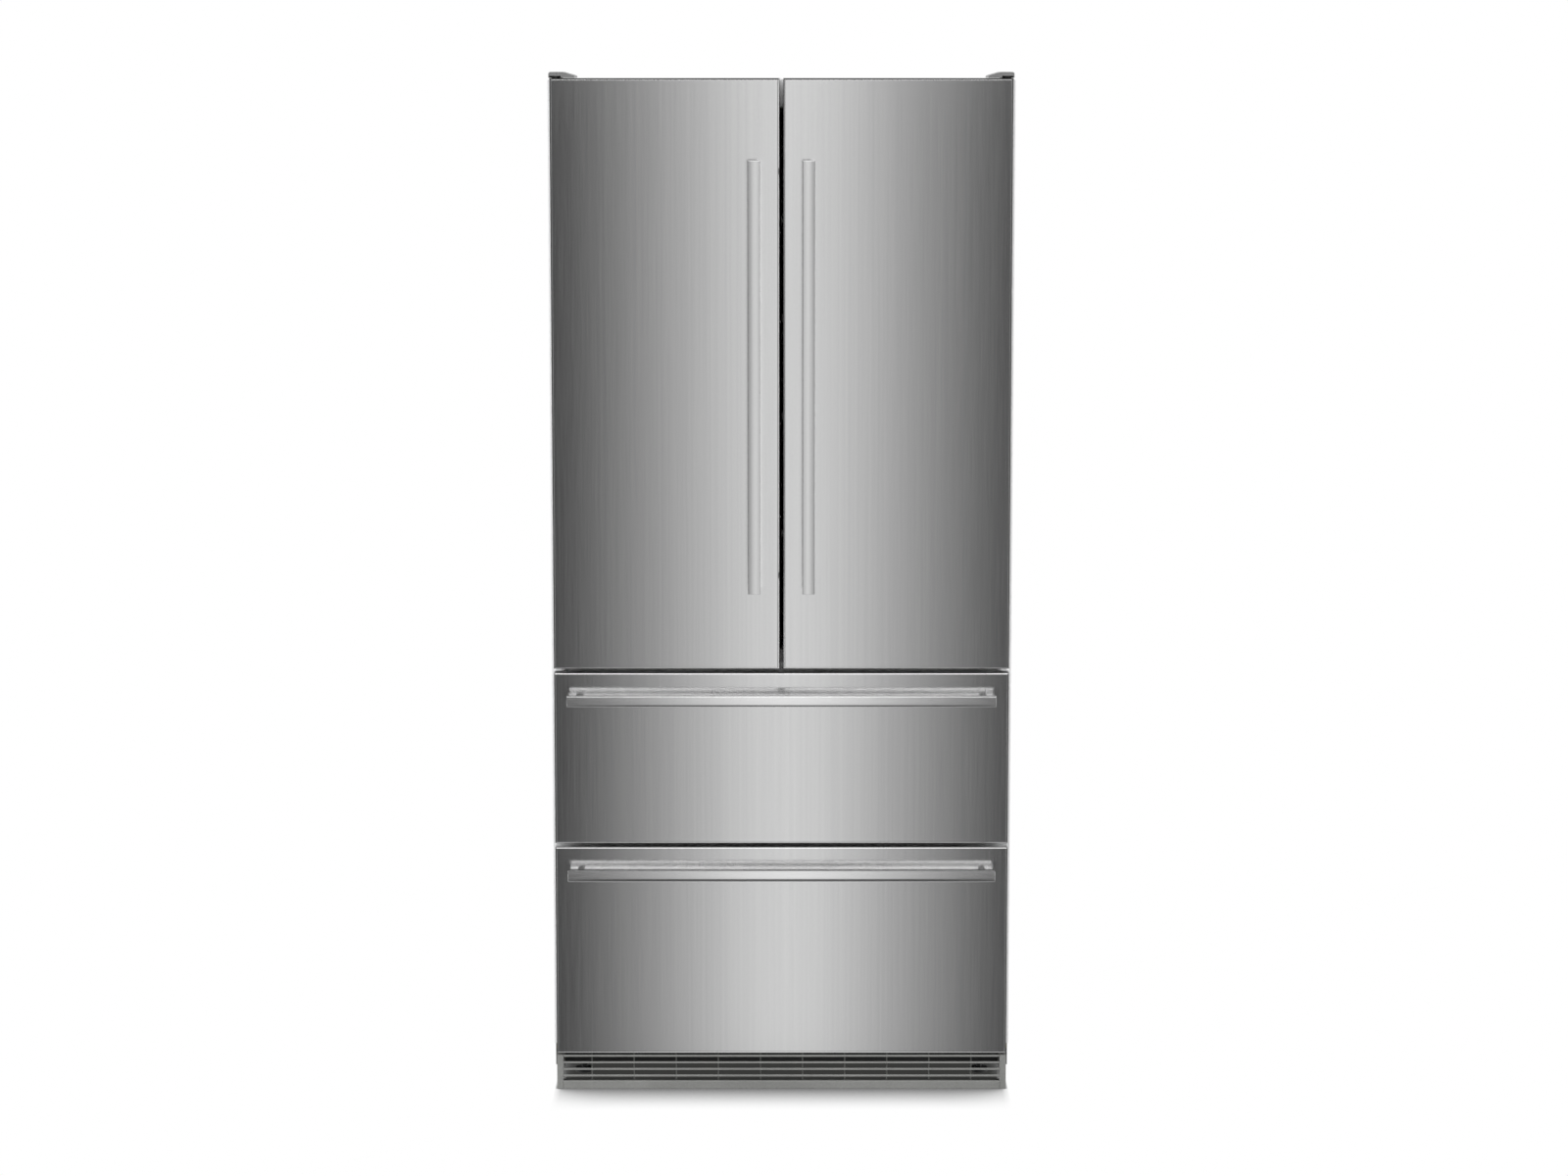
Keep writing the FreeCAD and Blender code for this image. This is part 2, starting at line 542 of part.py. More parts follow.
# Middle hinges: a leg on the cabinet front and a plate in the gap, with a pin up into the door.
middle_ends = ("gasket_out + cover_setback", "gasket_out + cover_setback + middle_leg_width")
middle_leg = box("middle_leg_plate", middle_ends, ("flange_y - middle_leg", "flange_y"),
                 ("mid_rail_z - middle_leg_high", "mid_rail_z + middle_leg_high"))
middle_arm = nosed("middle_arm", middle_ends, "flange_y",
                   ("mid_rail_z - middle_plate/2", "mid_rail_z + middle_plate/2"))
middle_pin = rod("middle_pin", "z", ("hinge_x", "hinge_y", "mid_rail_z"), "pin_radius", "pin_length")
middle_right = fuse("middle_hinge_right", [middle_leg, middle_arm, middle_pin])
group("middle_hinges", [mirrored("middle_hinge_left", middle_right), middle_right])


def common(name, base, tool):
    kept = doc.addObject("Part::Common", name)
    kept.Base = base
    kept.Tool = tool
    return kept


def ring(name, x, y, z, width):
    """Rectangular frame that lies in the XZ plane."""
    hole = box(name + "_hole", (f"{x[0]} + {width}", f"{x[1]} - ({width})"),
               (past(y[0]), f"{y[1]} + {OVER}"), (f"{z[0]} + {width}", f"{z[1]} - ({width})"))
    return cut(name, box(name + "_block", x, y, z), [hole])


def front_block(name, x, back, z, inset, radius):
    """Block of a front panel whose front edges are rounded."""
    front = f"face_y + {inset}"
    block = box(name + "_block", (f"{x[0]} + {inset}", f"{x[1]} - {inset}"), (front, back),
                (f"{z[0]} + {inset}", f"{z[1]} - {inset}"))
    return rounded(name, block, radius, lambda e: abs(e.CenterOfMass.y - value(front)) < 0.01)


def skin_tray(name, x, z):
    """Steel front pressed as a shallow tray, open to the back."""
    outer = front_block(name + "_outer", x, "face_y + skin_fold", z, "0", "skin_round")
    inner = front_block(name + "_inner", x, "back_y", z, "skin", "skin_round - skin")
    return cut(name, outer, [inner])


def core_block(name, x, z):
    """Foamed body behind a skin, up to the plane of the gasket."""
    return front_block(name, x, "back_y", z, "skin", "skin_round - skin")


def gasket(name, x, z):
    """Magnetic seal with a bellows groove round its outer side."""
    y = ("back_y", "flange_y - seal_clear")
    middle = "(back_y + flange_y - seal_clear)/2"
    seal = ring(name + "_ring", x, y, z, "gasket_width")
    bellows = ring(name + "_groove", (past(x[0]), f"{x[1]} + {OVER}"),
                   (f"{middle} - groove/2", f"{middle} + groove/2"),
                   (past(z[0]), f"{z[1]} + {OVER}"), f"groove + {OVER}")
    return cut(name, seal, [bellows])


bow_radius = "(handle_width*handle_width/4 + handle_bow*handle_bow)/(2*handle_bow)"
handle_y = "face_y - handle_reach"


def handle(name, along, across, start, length):
    """Bar with a bowed front and a sloped back; along is x or z, across its middle, start its low end."""
    low, high = f"{across} - handle_width/2", f"{across} + handle_width/2"
    edge_y = f"{handle_y} + handle_edge"
    back_y = f"{handle_y} + handle_thick"
    section = [(low, handle_y), (high, handle_y), (high, edge_y), (f"{high} - handle_slope", back_y),
               (f"{low} + handle_slope", back_y), (low, edge_y)]
    spine = f"{handle_y} + {bow_radius}"
    if along == "z":
        bar = place(extruded(name + "_bar", "XY_Plane", section, length), 0, 0, start)
        curve = rod(name + "_curve", "z", (across, spine, start), bow_radius, length)
    else:
        bar = extruded(name + "_bar", "YZ_Plane", [(y, z) for z, y in section], length, centred=True)
        curve = rod(name + "_curve", "x", (start, spine, across), bow_radius, length)
    front_edge = value(f"{handle_y} + handle_bow") + OVER / 2
    return rounded(name, common(name + "_bowed", bar, curve), "handle_round",
                   lambda e: runs_along(e, along) and e.CenterOfMass.y < front_edge)


def post(name, along, x, z):
    """Tapered standoff from the steel face to the back of a bar that runs along x or z."""
    bar_y = f"{handle_y} + handle_thick"
    taper = [("-post_foot", "face_y"), ("post_foot", "face_y"), ("post_half", bar_y), ("-post_half", bar_y)]
    if along == "z":
        body = extruded(name, "YZ_Plane", [(y, step) for step, y in taper], "2*post_half", centred=True)
    else:
        body = extruded(name, "XY_Plane", taper, "2*post_half", centred=True)
    return place(body, x, 0, z)


# Right door; the left door is its mirror image and also carries the flip mullion.
door_x = ("centre_gap/2", "front_half")
door_z = ("door_low", "door_high")


hinge_notch = [("hinge_x - pin_radius - skin", "hinge_x + pin_radius + skin"),
               ("hinge_y - pin_radius - skin", "hinge_y + pin_radius + skin")]
right_skin = cut("right_door_skin", skin_tray("right_skin_tray", door_x, door_z), [
    box("right_notch_low", *hinge_notch, (past("door_low"), f"door_low + skin + {OVER}")),
    box("right_notch_high", *hinge_notch, (f"door_high - skin - {OVER}", f"door_high + {OVER}"))])
mirrored("left_door_skin", right_skin)

bin_levels = [f"fridge_low + bin_first + {i}*bin_pitch" for i in range(SIZES["bin_count"])]
dike_block = box("dike_block", ("dike_in", "dike_out"), ("back_y", "dike_y"), ("dike_low", "dike_high"))
dike_solid = rounded("dike_solid", dike_block, "dike_round", lambda e: runs_along(e, "y"))
dike_hole = box("dike_hole", ("dike_in + dike_wall", "dike_out - dike_wall"),
                ("back_y", f"dike_y + {OVER}"), ("dike_low + dike_wall", "dike_high - dike_wall"))
dike = cut("dike", dike_solid, [dike_hole])
lugs = []
for i, level in enumerate(bin_levels):
    for side, ends in (("in", ("dike_in + dike_wall", "dike_in + dike_wall + bin_lug")),
                       ("out", ("dike_out - dike_wall - bin_lug", "dike_out - dike_wall"))):
        lugs.append(box(f"bin_lug_{side}_{i}", ends, ("back_y", "dike_y"),
                        (f"{level} - bin_lug_height", level)))
low_tip = "mid_rail_z + pin_length + hinge_lift"
high_tip = f"{hinge_low} - pin_length - hinge_lift"
pin_hole = "pin_radius + pin_clear"
right_core = cut("right_door_core", core_block("right_core_block", door_x, door_z), [
    rod("right_low_bore", "z", ("hinge_x", "hinge_y", past("door_low")), pin_hole,
        f"{low_tip} - door_low + {OVER}"),
    rod("right_high_bore", "z", ("hinge_x", "hinge_y", high_tip), pin_hole,
        f"door_high - ({high_tip}) + {OVER}")])
right_panel = fuse("right_door_panel", [right_core, dike] + lugs)
mullion_low = "dike_low + mullion_ear + mullion_gap"
mullion_high = "dike_high - mullion_ear - mullion_gap"
mullion_left = "-mullion_short - mullion_width"
mullion_x = f"{mullion_left} + mullion_thick/2"
mullion_front = "flange_y + seal_clear"
mullion_y = f"{mullion_front} + mullion_thick/2"
ears = []
for name, low in (("low", "dike_low"), ("high", "dike_high - mullion_ear")):
    ear = box(f"mullion_ear_{name}_block", ("-dike_in - dike_wall/2", f"{mullion_x} + mullion_thick/2"),
              (mullion_front, f"{mullion_front} + mullion_thick"), (low, f"{low} + mullion_ear"))
    bore = rod(f"mullion_bore_{name}", "z", (mullion_x, mullion_y, past(low)), "mullion_pin + pin_clear",
               f"mullion_ear + {2 * OVER}")
    ears.append(cut(f"mullion_ear_{name}", ear, [bore]))
fuse("left_door_panel", [mirrored("left_door_plain", right_panel)] + ears)

# Flip mullion: a full-round bar on two pins at its left edge.
mullion_block = box("mullion_block", (mullion_left, "-mullion_short"),
                    (mullion_front, f"{mullion_front} + mullion_thick"), (mullion_low, mullion_high))
mullion_bar = rounded("mullion_bar", mullion_block, "mullion_thick*0.49", lambda e: runs_along(e, "z"))
mullion_pins = rod("mullion_pins", "z", (mullion_x, mullion_y, "dike_low"), "mullion_pin",
                   "dike_high - dike_low")
fuse("flip_mullion", [mullion_bar, mullion_pins])

right_gasket = gasket("right_door_gasket", ("centre_gap/2 + gasket_centre", "gasket_out"),
                      ("door_low + gasket_end", "door_high - gasket_inset"))
mirrored("left_door_gasket", right_gasket)


def open_tub(name, x, y, z, wall, radius, keep):
    """Tray that is open above; the edges that keep() accepts are rounded, inside and out."""
    block = rounded(name + "_outer", box(name + "_block", x, y, z), radius, keep)
    space = box(name + "_room", (f"{x[0]} + {wall}", f"{x[1]} - {wall}"),
                (f"{y[0]} + {wall}", f"{y[1]} - {wall}"), (f"{z[0]} + {wall}", f"{z[1]} + {OVER}"))
    hollow = rounded(name + "_inner", space, f"{radius} - {wall}", keep)
    return cut(name, block, [hollow])


def far_upright(back):
    """Picks upright edges on the far side of a bin, whatever its wall."""
    return lambda e: runs_along(e, "z") and e.CenterOfMass.y > value(back)


bins = []
for i, level in enumerate(bin_levels):
    tub = open_tub(f"bin_{i}", ("dike_in + dike_wall + bin_clear", "dike_out - dike_wall - bin_clear"),
                   ("back_y + bin_clear", "back_y + bin_clear + bin_depth"),
                   (level, f"{level} + bin_height"), "bin_wall", "bin_round",
                   far_upright("back_y + bin_depth/2"))
    bins.append(tub)
right_bins = group("right_door_bins", bins)
mirrored("left_door_bins", right_bins)

right_bar = handle("right_door_handle", "z", "handle_x", "door_low + handle_low", "handle_length")
mirrored("left_door_handle", right_bar)
right_posts = group("right_handle_posts", [
    post("right_post_low", "z", "handle_x", "door_low + handle_low + post_inset"),
    post("right_post_high", "z", "handle_x", "door_high - handle_top - post_inset")])
mirrored("left_handle_posts", right_posts)


def slide_member(name, level, middle, front, length, shelf="slide_flange"):
    """One channel of a telescopic slide on the right wall; level 0 is the outer member."""
    web = f"room_half - {level}*slide_step"
    high = f"{middle} + slide_height/2 - {level}*(slide_sheet + slide_fit)"
    low = f"{middle} - slide_height/2 + {level}*(slide_sheet + slide_fit)"
    lip = f"room_half - slide_flange - {level}*slide_sheet"
    body = extruded(name, "XZ_Plane", [
        (web, low), (lip, low), (lip, f"{low} + slide_sheet"),
        (f"{web} - slide_sheet", f"{low} + slide_sheet"),
        (f"{web} - slide_sheet", f"{high} - slide_sheet"), (f"room_half - {shelf}", f"{high} - slide_sheet"),
        (f"room_half - {shelf}", high), (web, high)], length)
    return place(body, 0, f"{front} + {length}", 0)


def pair(name, right):
    return group(name, [mirrored(name + "_left", right), right])


def drawer(name, bottom, top, room_low, room_high, basket_end):
    """Front, seal, handle, slides and basket of one drawer; returns its fixed slide members."""
    x = both("front_half")
    z = (bottom, top)
    skin_tray(f"{name}_drawer_skin", x, z)
    core = core_block(f"{name}_core", x, z)
    raised = box(f"{name}_pad", both("room_half - pad_inset"), ("back_y", "flange_y"),
                 (f"{room_low} + pad_inset", f"{room_high} - pad_inset"))
    inner = rounded(f"{name}_pad_soft", raised, "dike_round", lambda e: runs_along(e, "y"))
    fuse(f"{name}_drawer_panel", [core, inner])
    gasket(f"{name}_drawer_gasket", both("gasket_out"), (f"{bottom} + gasket_end", f"{top} - gasket_end"))
    bar_z = f"{top} - drawer_handle_drop"
    handle(f"{name}_drawer_handle", "x", bar_z, "-drawer_handle_half", "2*drawer_handle_half")
    reach = "drawer_handle_half - post_inset"
    group(f"{name}_handle_posts", [post(f"{name}_post_left", "x", f"-({reach})", bar_z),
                                   post(f"{name}_post_right", "x", reach, bar_z)])
    middle = f"{room_high} - liner - slide_drop"
    front = "flange_y + slide_front"
    outer = slide_member(f"{name}_slide_outer", 0, middle, front, "slide_length")
    mid = slide_member(f"{name}_slide_mid", 1, middle, front, "slide_length - slide_mid_short")
    inside = slide_member(f"{name}_slide_inner", 2, middle, "back_y",
                          "slide_length + slide_front + gasket_gap", "slide_shelf")
    pair(f"{name}_mid_rails", mid)
    pair(f"{name}_inner_rails", inside)
    seat = f"{middle} + slide_height/2 - 2*(slide_sheet + slide_fit)"
    side = "room_half - basket_side"
    y = ("back_y + basket_front", basket_end)
    tub = open_tub(f"{name}_tub", both(side), y,
                   (f"{room_low} + liner + basket_floor", f"{seat} + basket_lip"), "basket_wall",
                   "basket_round", lambda e: runs_along(e, "z"))
    lips = [box(f"{name}_lip_{i}", ends, (f"{y[0]} + basket_round", f"{y[1]} - basket_round"),
                (seat, f"{seat} + basket_lip"))
            for i, ends in enumerate(((f"-({side}) - slide_flange", f"basket_wall/2 - ({side})"),
                                      (f"{side} - basket_wall/2", f"{side} + slide_flange")))]
    fuse(f"{name}_basket", [tub] + lips)
    return pair(f"{name}_outer_pair", outer)


group("outer_rails", [
    drawer("upper", "upper_low", "upper_high", "upper_room_low", "upper_room_high", "air_y - basket_back"),
    drawer("lower", "lower_bottom", "lower_high", "lower_room_low", "lower_room_high",
           f"{step_y} - liner - basket_step")])

# Shelves: glass panes let into moulded frames, the lowest one covering the crispers.
frames = []
panes = []
for i, level in enumerate(shelf_levels):
    half = "room_half - shelf_clear"
    y = ("shelf_y", "shelf_y + shelf_depth")
    rim_top = f"{level} + shelf_rim"
    frame = box(f"shelf_frame_{i}_block", both(half), y, (level, rim_top))
    inset = ("shelf_y + shelf_rim_width", "shelf_y + shelf_depth - shelf_rim_width")
    through = box(f"shelf_through_{i}", both(f"{half} - shelf_rim_width"), inset,
                  (past(level), f"{rim_top} + {OVER}"))
    seat = (f"{rim_top} - shelf_glass", rim_top)
    wide = both(f"{half} - shelf_rim_width/2")
    deep = ("shelf_y + shelf_rim_width/2", "shelf_y + shelf_depth - shelf_rim_width/2")
    rebate = box(f"shelf_rebate_{i}", wide, deep, (seat[0], f"{rim_top} + {OVER}"))
    frames.append(cut(f"shelf_frame_{i}", frame, [through, rebate]))
    panes.append(box(f"shelf_pane_{i}", wide, deep, seat))
group("shelf_frames", frames)
group("glass_shelves", panes)

# Crispers: two drawers on the fridge floor, with a finger scoop in the front wall.
crisper_y = "shelf_y + crisper_set"
crisper_low = "fridge_low + liner + slide_clear"
crisper_x = ("crisper_gap/2", "room_half - crisper_side")
crisper_tub = open_tub("crisper_tub", crisper_x, (crisper_y, f"{crisper_y} + crisper_depth"),
                       (crisper_low, f"{crisper_low} + crisper_top"), "crisper_wall", "cavity_round",
                       lambda e: runs_along(e, "y")
                       and e.CenterOfMass.z < value("fridge_low + crisper_top/2"))
crisper_mid = "(room_half - crisper_side + crisper_gap/2)/2"
scoop_block = box("scoop_block", (f"{crisper_mid} - grip_width/2", f"{crisper_mid} + grip_width/2"),
                  (past(crisper_y), f"{crisper_y} + crisper_wall + {OVER}"),
                  (f"{crisper_low} + crisper_top - grip_high", f"{crisper_low} + crisper_top + {OVER}"))
scoop = rounded("scoop", scoop_block, "grip_high/2", lambda e: runs_along(e, "y")
                and e.CenterOfMass.z < value(f"{crisper_low} + crisper_top"))
right_crisper = cut("crisper_right", crisper_tub, [scoop])
mirrored("crisper_left", right_crisper)


# Compressor: a can with a sloped crown on a foot plate, standing on four rubber blocks.
comp_y = "rear_y - comp_back"
plate_z = "base_low + mount_high"
can = turned("compressor_can", [
    ("0", "0"), ("comp_radius", "0"), ("comp_radius", "comp_height*0.75"),
    ("comp_radius*0.6", "comp_height"), ("0", "comp_height")])
place(can, "-comp_x", comp_y, f"{plate_z} + comp_plate")
plate_half = "(comp_feet/2 + mount_half)"
foot_plate = box("compressor_foot", (f"-comp_x - {plate_half}", f"{plate_half} - comp_x"),
                 (f"{comp_y} - comp_feet/3 - mount_half", f"{comp_y} + comp_feet/3 + mount_half"),
                 (plate_z, f"{plate_z} + comp_plate"))
mounts = []
for i, (sx, sy) in enumerate(((-1, -1), (1, -1), (-1, 1), (1, 1))):
    block = extruded(f"mount_{i}", "XZ_Plane", [
        ("-mount_half", "0"), ("mount_half", "0"), ("mount_half*0.7", "mount_high/2"),
        ("mount_half", "mount_high"), ("-mount_half", "mount_high"), ("-mount_half*0.7", "mount_high/2")],
        "2*mount_half", centred=True)
    mounts.append(place(block, f"{sx}*comp_feet/2 - comp_x", f"{comp_y} + {sy}*comp_feet/3", "base_low"))
fuse("compressor", [can, foot_plate])
group("compressor_mounts", mounts)


def coil(name, axis, start, length, fins, across, z, tubes):
    """Fin pack on flat tubes: plates stacked along axis between two headers."""
    def block(piece, ends, side, high):
        x, y = (ends, side) if axis == "x" else (side, ends)
        return box(f"{name}_{piece}", x, y, high)

    pieces = []
    for i in range(fins):
        at = f"{start} + ({i} + 0.5)*({length} - fin_thick)/{fins}"
        pieces.append(block(f"fin_{i}", (at, f"{at} + fin_thick"), across, z))
    inner = (f"{across[0]} + tube_radius", f"{across[1]} - tube_radius")
    for i in range(tubes):
        middle = f"{z[0]} + ({i} + 0.5)*({z[1]} - ({z[0]}))/{tubes}"
        pieces.append(block(f"tube_{i}", (start, f"{start} + {length}"), inner,
                            (f"{middle} - tube_radius/2", f"{middle} + tube_radius/2")))
    for end, at in (("low", f"{start} - 2*tube_radius"), ("high", f"{start} + {length}")):
        pieces.append(block(f"header_{end}", (at, f"{at} + 2*tube_radius"), across, z))
    return fuse(name, pieces)


# Drip tray with the condenser standing in it.
tray_y = ("machine_y + cond_set - tray_edge", "machine_y + cond_set + cond_depth + tray_edge")
tray_x = ("cond_left - tray_edge", "cond_right + tray_edge")
cut("drip_tray", box("tray_block", tray_x, tray_y, ("base_low", "base_low + tray_high")), [
    box("tray_room", (f"{tray_x[0]} + tray_wall", f"{tray_x[1]} - tray_wall"),
        (f"{tray_y[0]} + tray_wall", f"{tray_y[1]} - tray_wall"),
        ("base_low + tray_wall", f"base_low + tray_high + {OVER}"))])
cond_z = ("base_low + tray_wall", "base_low + tray_wall + cond_high")
coil("condenser", "y", "machine_y + cond_set", "cond_depth", SIZES["cond_fins"],
     ("cond_left", "cond_right"), cond_z, SIZES["coil_tubes"])


def fan(name, radius, hub, depth, blades, chord, spot, turn):
    """Rotor: a bored hub and tilted blades in a circle about its own Z axis."""
    body = turned(name, [
        ("shaft_radius + shaft_clear", f"-({depth})/2"), (hub, f"-({depth})/2"), (hub, f"({depth})/2"),
        ("shaft_radius + shaft_clear", f"({depth})/2")])
    doc.recompute()
    sketch = outline(body, "XZ_Plane", [
        (f"{hub} - blade_thick", f"-({chord})/3"), (radius, f"-({chord})/2"), (radius, f"({chord})/2"),
        (f"{hub} - blade_thick", f"({chord})/3")])
    blade_tilt = 50
    sketch.AttachmentOffset = FreeCAD.Placement(
        FreeCAD.Vector(), FreeCAD.Rotation(FreeCAD.Vector(1, 0, 0), blade_tilt))
    blade = pad(body, sketch, "blade_thick", centred=True)
    doc.recompute()
    circle = body.newObject("PartDesign::PolarPattern", name + "_blades")
    circle.Originals = [blade]
    circle.Axis = ([f for f in body.Origin.OriginFeatures if f.Role == "Z_Axis"][0], [""])
    circle.Angle = 360
    circle.Occurrences = blades
    body.Tip = circle
    body.Placement = FreeCAD.Placement(FreeCAD.Vector(), turn)
    return place(body, *spot)


def carrier(name, axis, plate, face, away, mid, z, radius, fan_depth, motor_half, motor_depth, slots):
    """Wall with a round fan opening, and the motor held behind it on a two-post bracket.

    axis is the fan's axis, face the plate's far side, away +1 or -1 towards the motor.
    """
    def span(near, far):
        """Range that starts near the wall's face and runs away from it."""
        ends = (f"{face} + {away}*({near})", f"{face} + {away}*({far})")
        return ends if away > 0 else (ends[1], ends[0])

    def bar(piece, near, far, side, high):
        """Square bar along the fan's axis."""
        ends = span(near, far)
        x, y = (ends, side) if axis == "x" else (side, ends)
        return box(f"{name}_{piece}", x, y, high)

    def round_bar(piece, near, far, size):
        low, high = span(near, far)
        start = (low, mid, z) if axis == "x" else (mid, low, z)
        return rod(f"{name}_{piece}", axis, start, size, f"{high} - ({low})")

    opening = f"{radius} + fan_clear"
    seat = f"{fan_depth} + 2*fan_clear"
    arm = f"{opening} + 2*fan_clear"
    wall = cut(f"{name}_wall", plate, [round_bar("opening", "-fan_radius", "fan_radius", opening)] + slots)
    level = (f"{z} - 2*fan_clear", f"{z} + 2*fan_clear")
    pieces = [wall, bar("arm", seat, f"{seat} + fan_clear", (f"{mid} - ({arm})", f"{mid} + {arm}"), level),
              bar("motor", seat, f"{seat} + {motor_depth}",
                  (f"{mid} - {motor_half}", f"{mid} + {motor_half}"),
                  (f"{z} - {motor_half}", f"{z} + {motor_half}")),
              round_bar("shaft", "fan_clear/2", seat, "shaft_radius")]
    for side, sign in (("near", "-"), ("far", "+")):
        ends = (f"{mid} {sign} ({arm}) - fan_clear/2", f"{mid} {sign} ({arm}) + fan_clear/2")
        pieces.append(bar(f"post_{side}", "0", f"{seat} + fan_clear", ends, level))
    return fuse(name, pieces)


# Condenser fan in its shroud, between the compressor and the condenser.
fan_mid = "machine_y + machine_depth/2"
fan_z = "base_low + fan_radius + fan_clear*4"
shroud = box("shroud_plate", ("shroud_x", "shroud_x + shroud_thick"),
             (f"{fan_mid} - fan_radius - fan_clear*4", f"{fan_mid} + fan_radius + fan_clear*4"),
             ("base_low", f"{fan_z} + fan_radius + fan_clear*4"))
carrier("fan_shroud", "x", shroud, "shroud_x", -1, fan_mid, fan_z, "fan_radius", "fan_depth", "motor_half",
        "motor_depth", [])
fan("condenser_fan", "fan_radius", "fan_hub", "fan_depth", 5, "fan_depth*1.2",
    ("shroud_x - fan_clear - fan_depth/2", fan_mid, fan_z), FreeCAD.Rotation(0, 90, 0))

# Machine cover: a louvred sheet over the machine space, with the gland for a mains lead.
cover_plate = box("machine_cover_plate", both("inside_half"), ("panel_y - cover_sheet", "panel_y"),
                  ("base_low - base_sheet", "machine_top - slide_clear"))
gland_z = "base_low + slot_high"
gland = extruded("gland_nut", "XZ_Plane", hexagon("gland_radius"), "rear_rib + cover_sheet")
place(gland, "gland_x", "rear_y", gland_z)
cover_tools = [rod("gland_hole", "y", ("gland_x", "panel_y - rear_rib", gland_z), "gland_bore", "3*rear_rib")]
for i in range(SIZES["cover_slots"]):
    middle = f"({i} - (cover_slots - 1)/2)*slot_pitch"
    cover_tools.append(box(f"cover_slot_{i}", (f"{middle} - slot_width/2", f"{middle} + slot_width/2"),
                           (past("panel_y - cover_sheet"), f"panel_y + {OVER}"),
                           ("machine_top - slot_high*2", "machine_top - slot_high")))
cut("machine_cover", fuse("machine_cover_joined", [cover_plate, gland]), cover_tools)

# Evaporator against the back of the upper freezer room, behind its air cover and fan.
evap_back = "liner_back_y - liner"
evap_low = "upper_room_low + liner + evap_lift"
cold_fan_z = "upper_room_high - liner - cold_fan_drop"
evap_high = f"{cold_fan_z} - cold_fan_radius - fan_clear*2"
coil("evaporator", "x", "-evap_half", "2*evap_half", SIZES["evap_fins"],
     (f"{evap_back} - evap_depth", evap_back), (evap_low, evap_high), SIZES["coil_tubes"])
air_plate = box("air_plate", both("air_half"), ("air_y", "air_y + air_sheet"),
                ("upper_room_low + liner", "upper_room_high - liner"))
AIR_SLOTS = SIZES["air_slots"]
slot_low = f"({evap_low} + {evap_high})/2"
air_slots = [box(f"air_slot_{i}", (f"({i} - {AIR_SLOTS / 2})*air_pitch + vent_high/2",
                                   f"({i + 1} - {AIR_SLOTS / 2})*air_pitch - vent_high"),
                 (past("air_y"), f"air_y + air_sheet + {OVER}"), (slot_low, f"{slot_low} + vent_high"))
             for i in range(AIR_SLOTS)]
carrier("freezer_air_cover", "y", air_plate, "air_y + air_sheet", 1, "0", cold_fan_z, "cold_fan_radius",
        "cold_fan_depth", "cold_motor_half", "cold_motor_depth", air_slots)
fan("freezer_fan", "cold_fan_radius", "cold_motor_half*0.8", "cold_fan_depth", 5, "cold_fan_depth*1.2",
    ("0", "air_y + air_sheet + fan_clear + cold_fan_depth/2", cold_fan_z), FreeCAD.Rotation(0, 0, -90))

# Fridge air duct: a shallow box on the back wall with rows of vents.
duct_ends = (f"{cover_z} + shelf_rim", "fridge_high - liner - duct_depth")
duct_shell = rounded("duct_shell", box("duct_block", both("duct_width/2"), ("duct_y", evap_back), duct_ends),
                     "duct_depth/2", lambda e: abs(e.CenterOfMass.y - value("duct_y")) < 0.01)
duct_tools = [box("duct_room", both("duct_width/2 - duct_depth/2"),
                  ("duct_y + air_sheet", f"{evap_back} + {OVER}"),
                  (f"{duct_ends[0]} + duct_depth/2", f"{duct_ends[1]} - duct_depth/2"))]
for i in range(SIZES["duct_vents"]):
    level = f"{duct_ends[0]} + ({i} + 0.7)*(fridge_high - ({duct_ends[0]}))/(duct_vents + 0.5)"
    duct_tools.append(box(f"duct_vent_{i}", both("vent_width/2"),
                          (past("duct_y"), f"duct_y + air_sheet + {OVER}"), (level, f"{level} + vent_high")))
cut("fridge_air_duct", duct_shell, duct_tools)

# Ceiling light: a lens under the top of the fridge liner.
lens = box("light_lens", both("light_width/2"), ("-light_depth/2", "light_depth/2"),
           ("fridge_high - liner - light_thick", "fridge_high - liner"))
rounded("light_panel", lens, "light_round",
        lambda e: abs(e.CenterOfMass.z - value("fridge_high - liner - light_thick")) < 0.01)

NODES = """
cabinet_shell rear_panel cabinet_insulation fridge_liner freezer_liner cross_rails base_pan front_feet
rear_roller_left rear_roller_right plinth_grille top_hinges top_hinge_covers middle_hinges outer_rails
compressor compressor_mounts condenser drip_tray fan_shroud condenser_fan machine_cover
evaporator freezer_air_cover freezer_fan fridge_air_duct light_panel shelf_frames glass_shelves
crisper_left crisper_right flip_mullion
left_door_skin left_door_panel left_door_gasket left_door_bins left_door_handle left_handle_posts
right_door_skin right_door_panel right_door_gasket right_door_bins right_door_handle right_handle_posts
upper_drawer_skin upper_drawer_panel upper_drawer_gasket upper_drawer_handle upper_handle_posts
upper_mid_rails upper_inner_rails upper_basket
lower_drawer_skin lower_drawer_panel lower_drawer_gasket lower_drawer_handle lower_handle_posts
lower_mid_rails lower_inner_rails lower_basket
""".split()

doc.recompute()
for obj in doc.Objects:
    if "Invalid" in obj.State or "Error" in obj.State:
        raise RuntimeError(f"{obj.Name} failed: {obj.State}")
for node in NODES:
    shape = doc.getObject(node).Shape
    if shape.isNull() or not shape.isValid():
        raise RuntimeError(f"{node} has no valid shape")

os.makedirs("parts", exist_ok=True)
for node in NODES:
    piece = doc.getObject(node)
    piece.Label = node
    piece.Shape.exportStep(f"parts/{node}.step")
    print(node, len(piece.Shape.Solids), "solids", round(piece.Shape.Volume / 1000, 1), "cm3")
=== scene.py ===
import json
import math

import bmesh
import bpy
from mathutils import Matrix, Vector


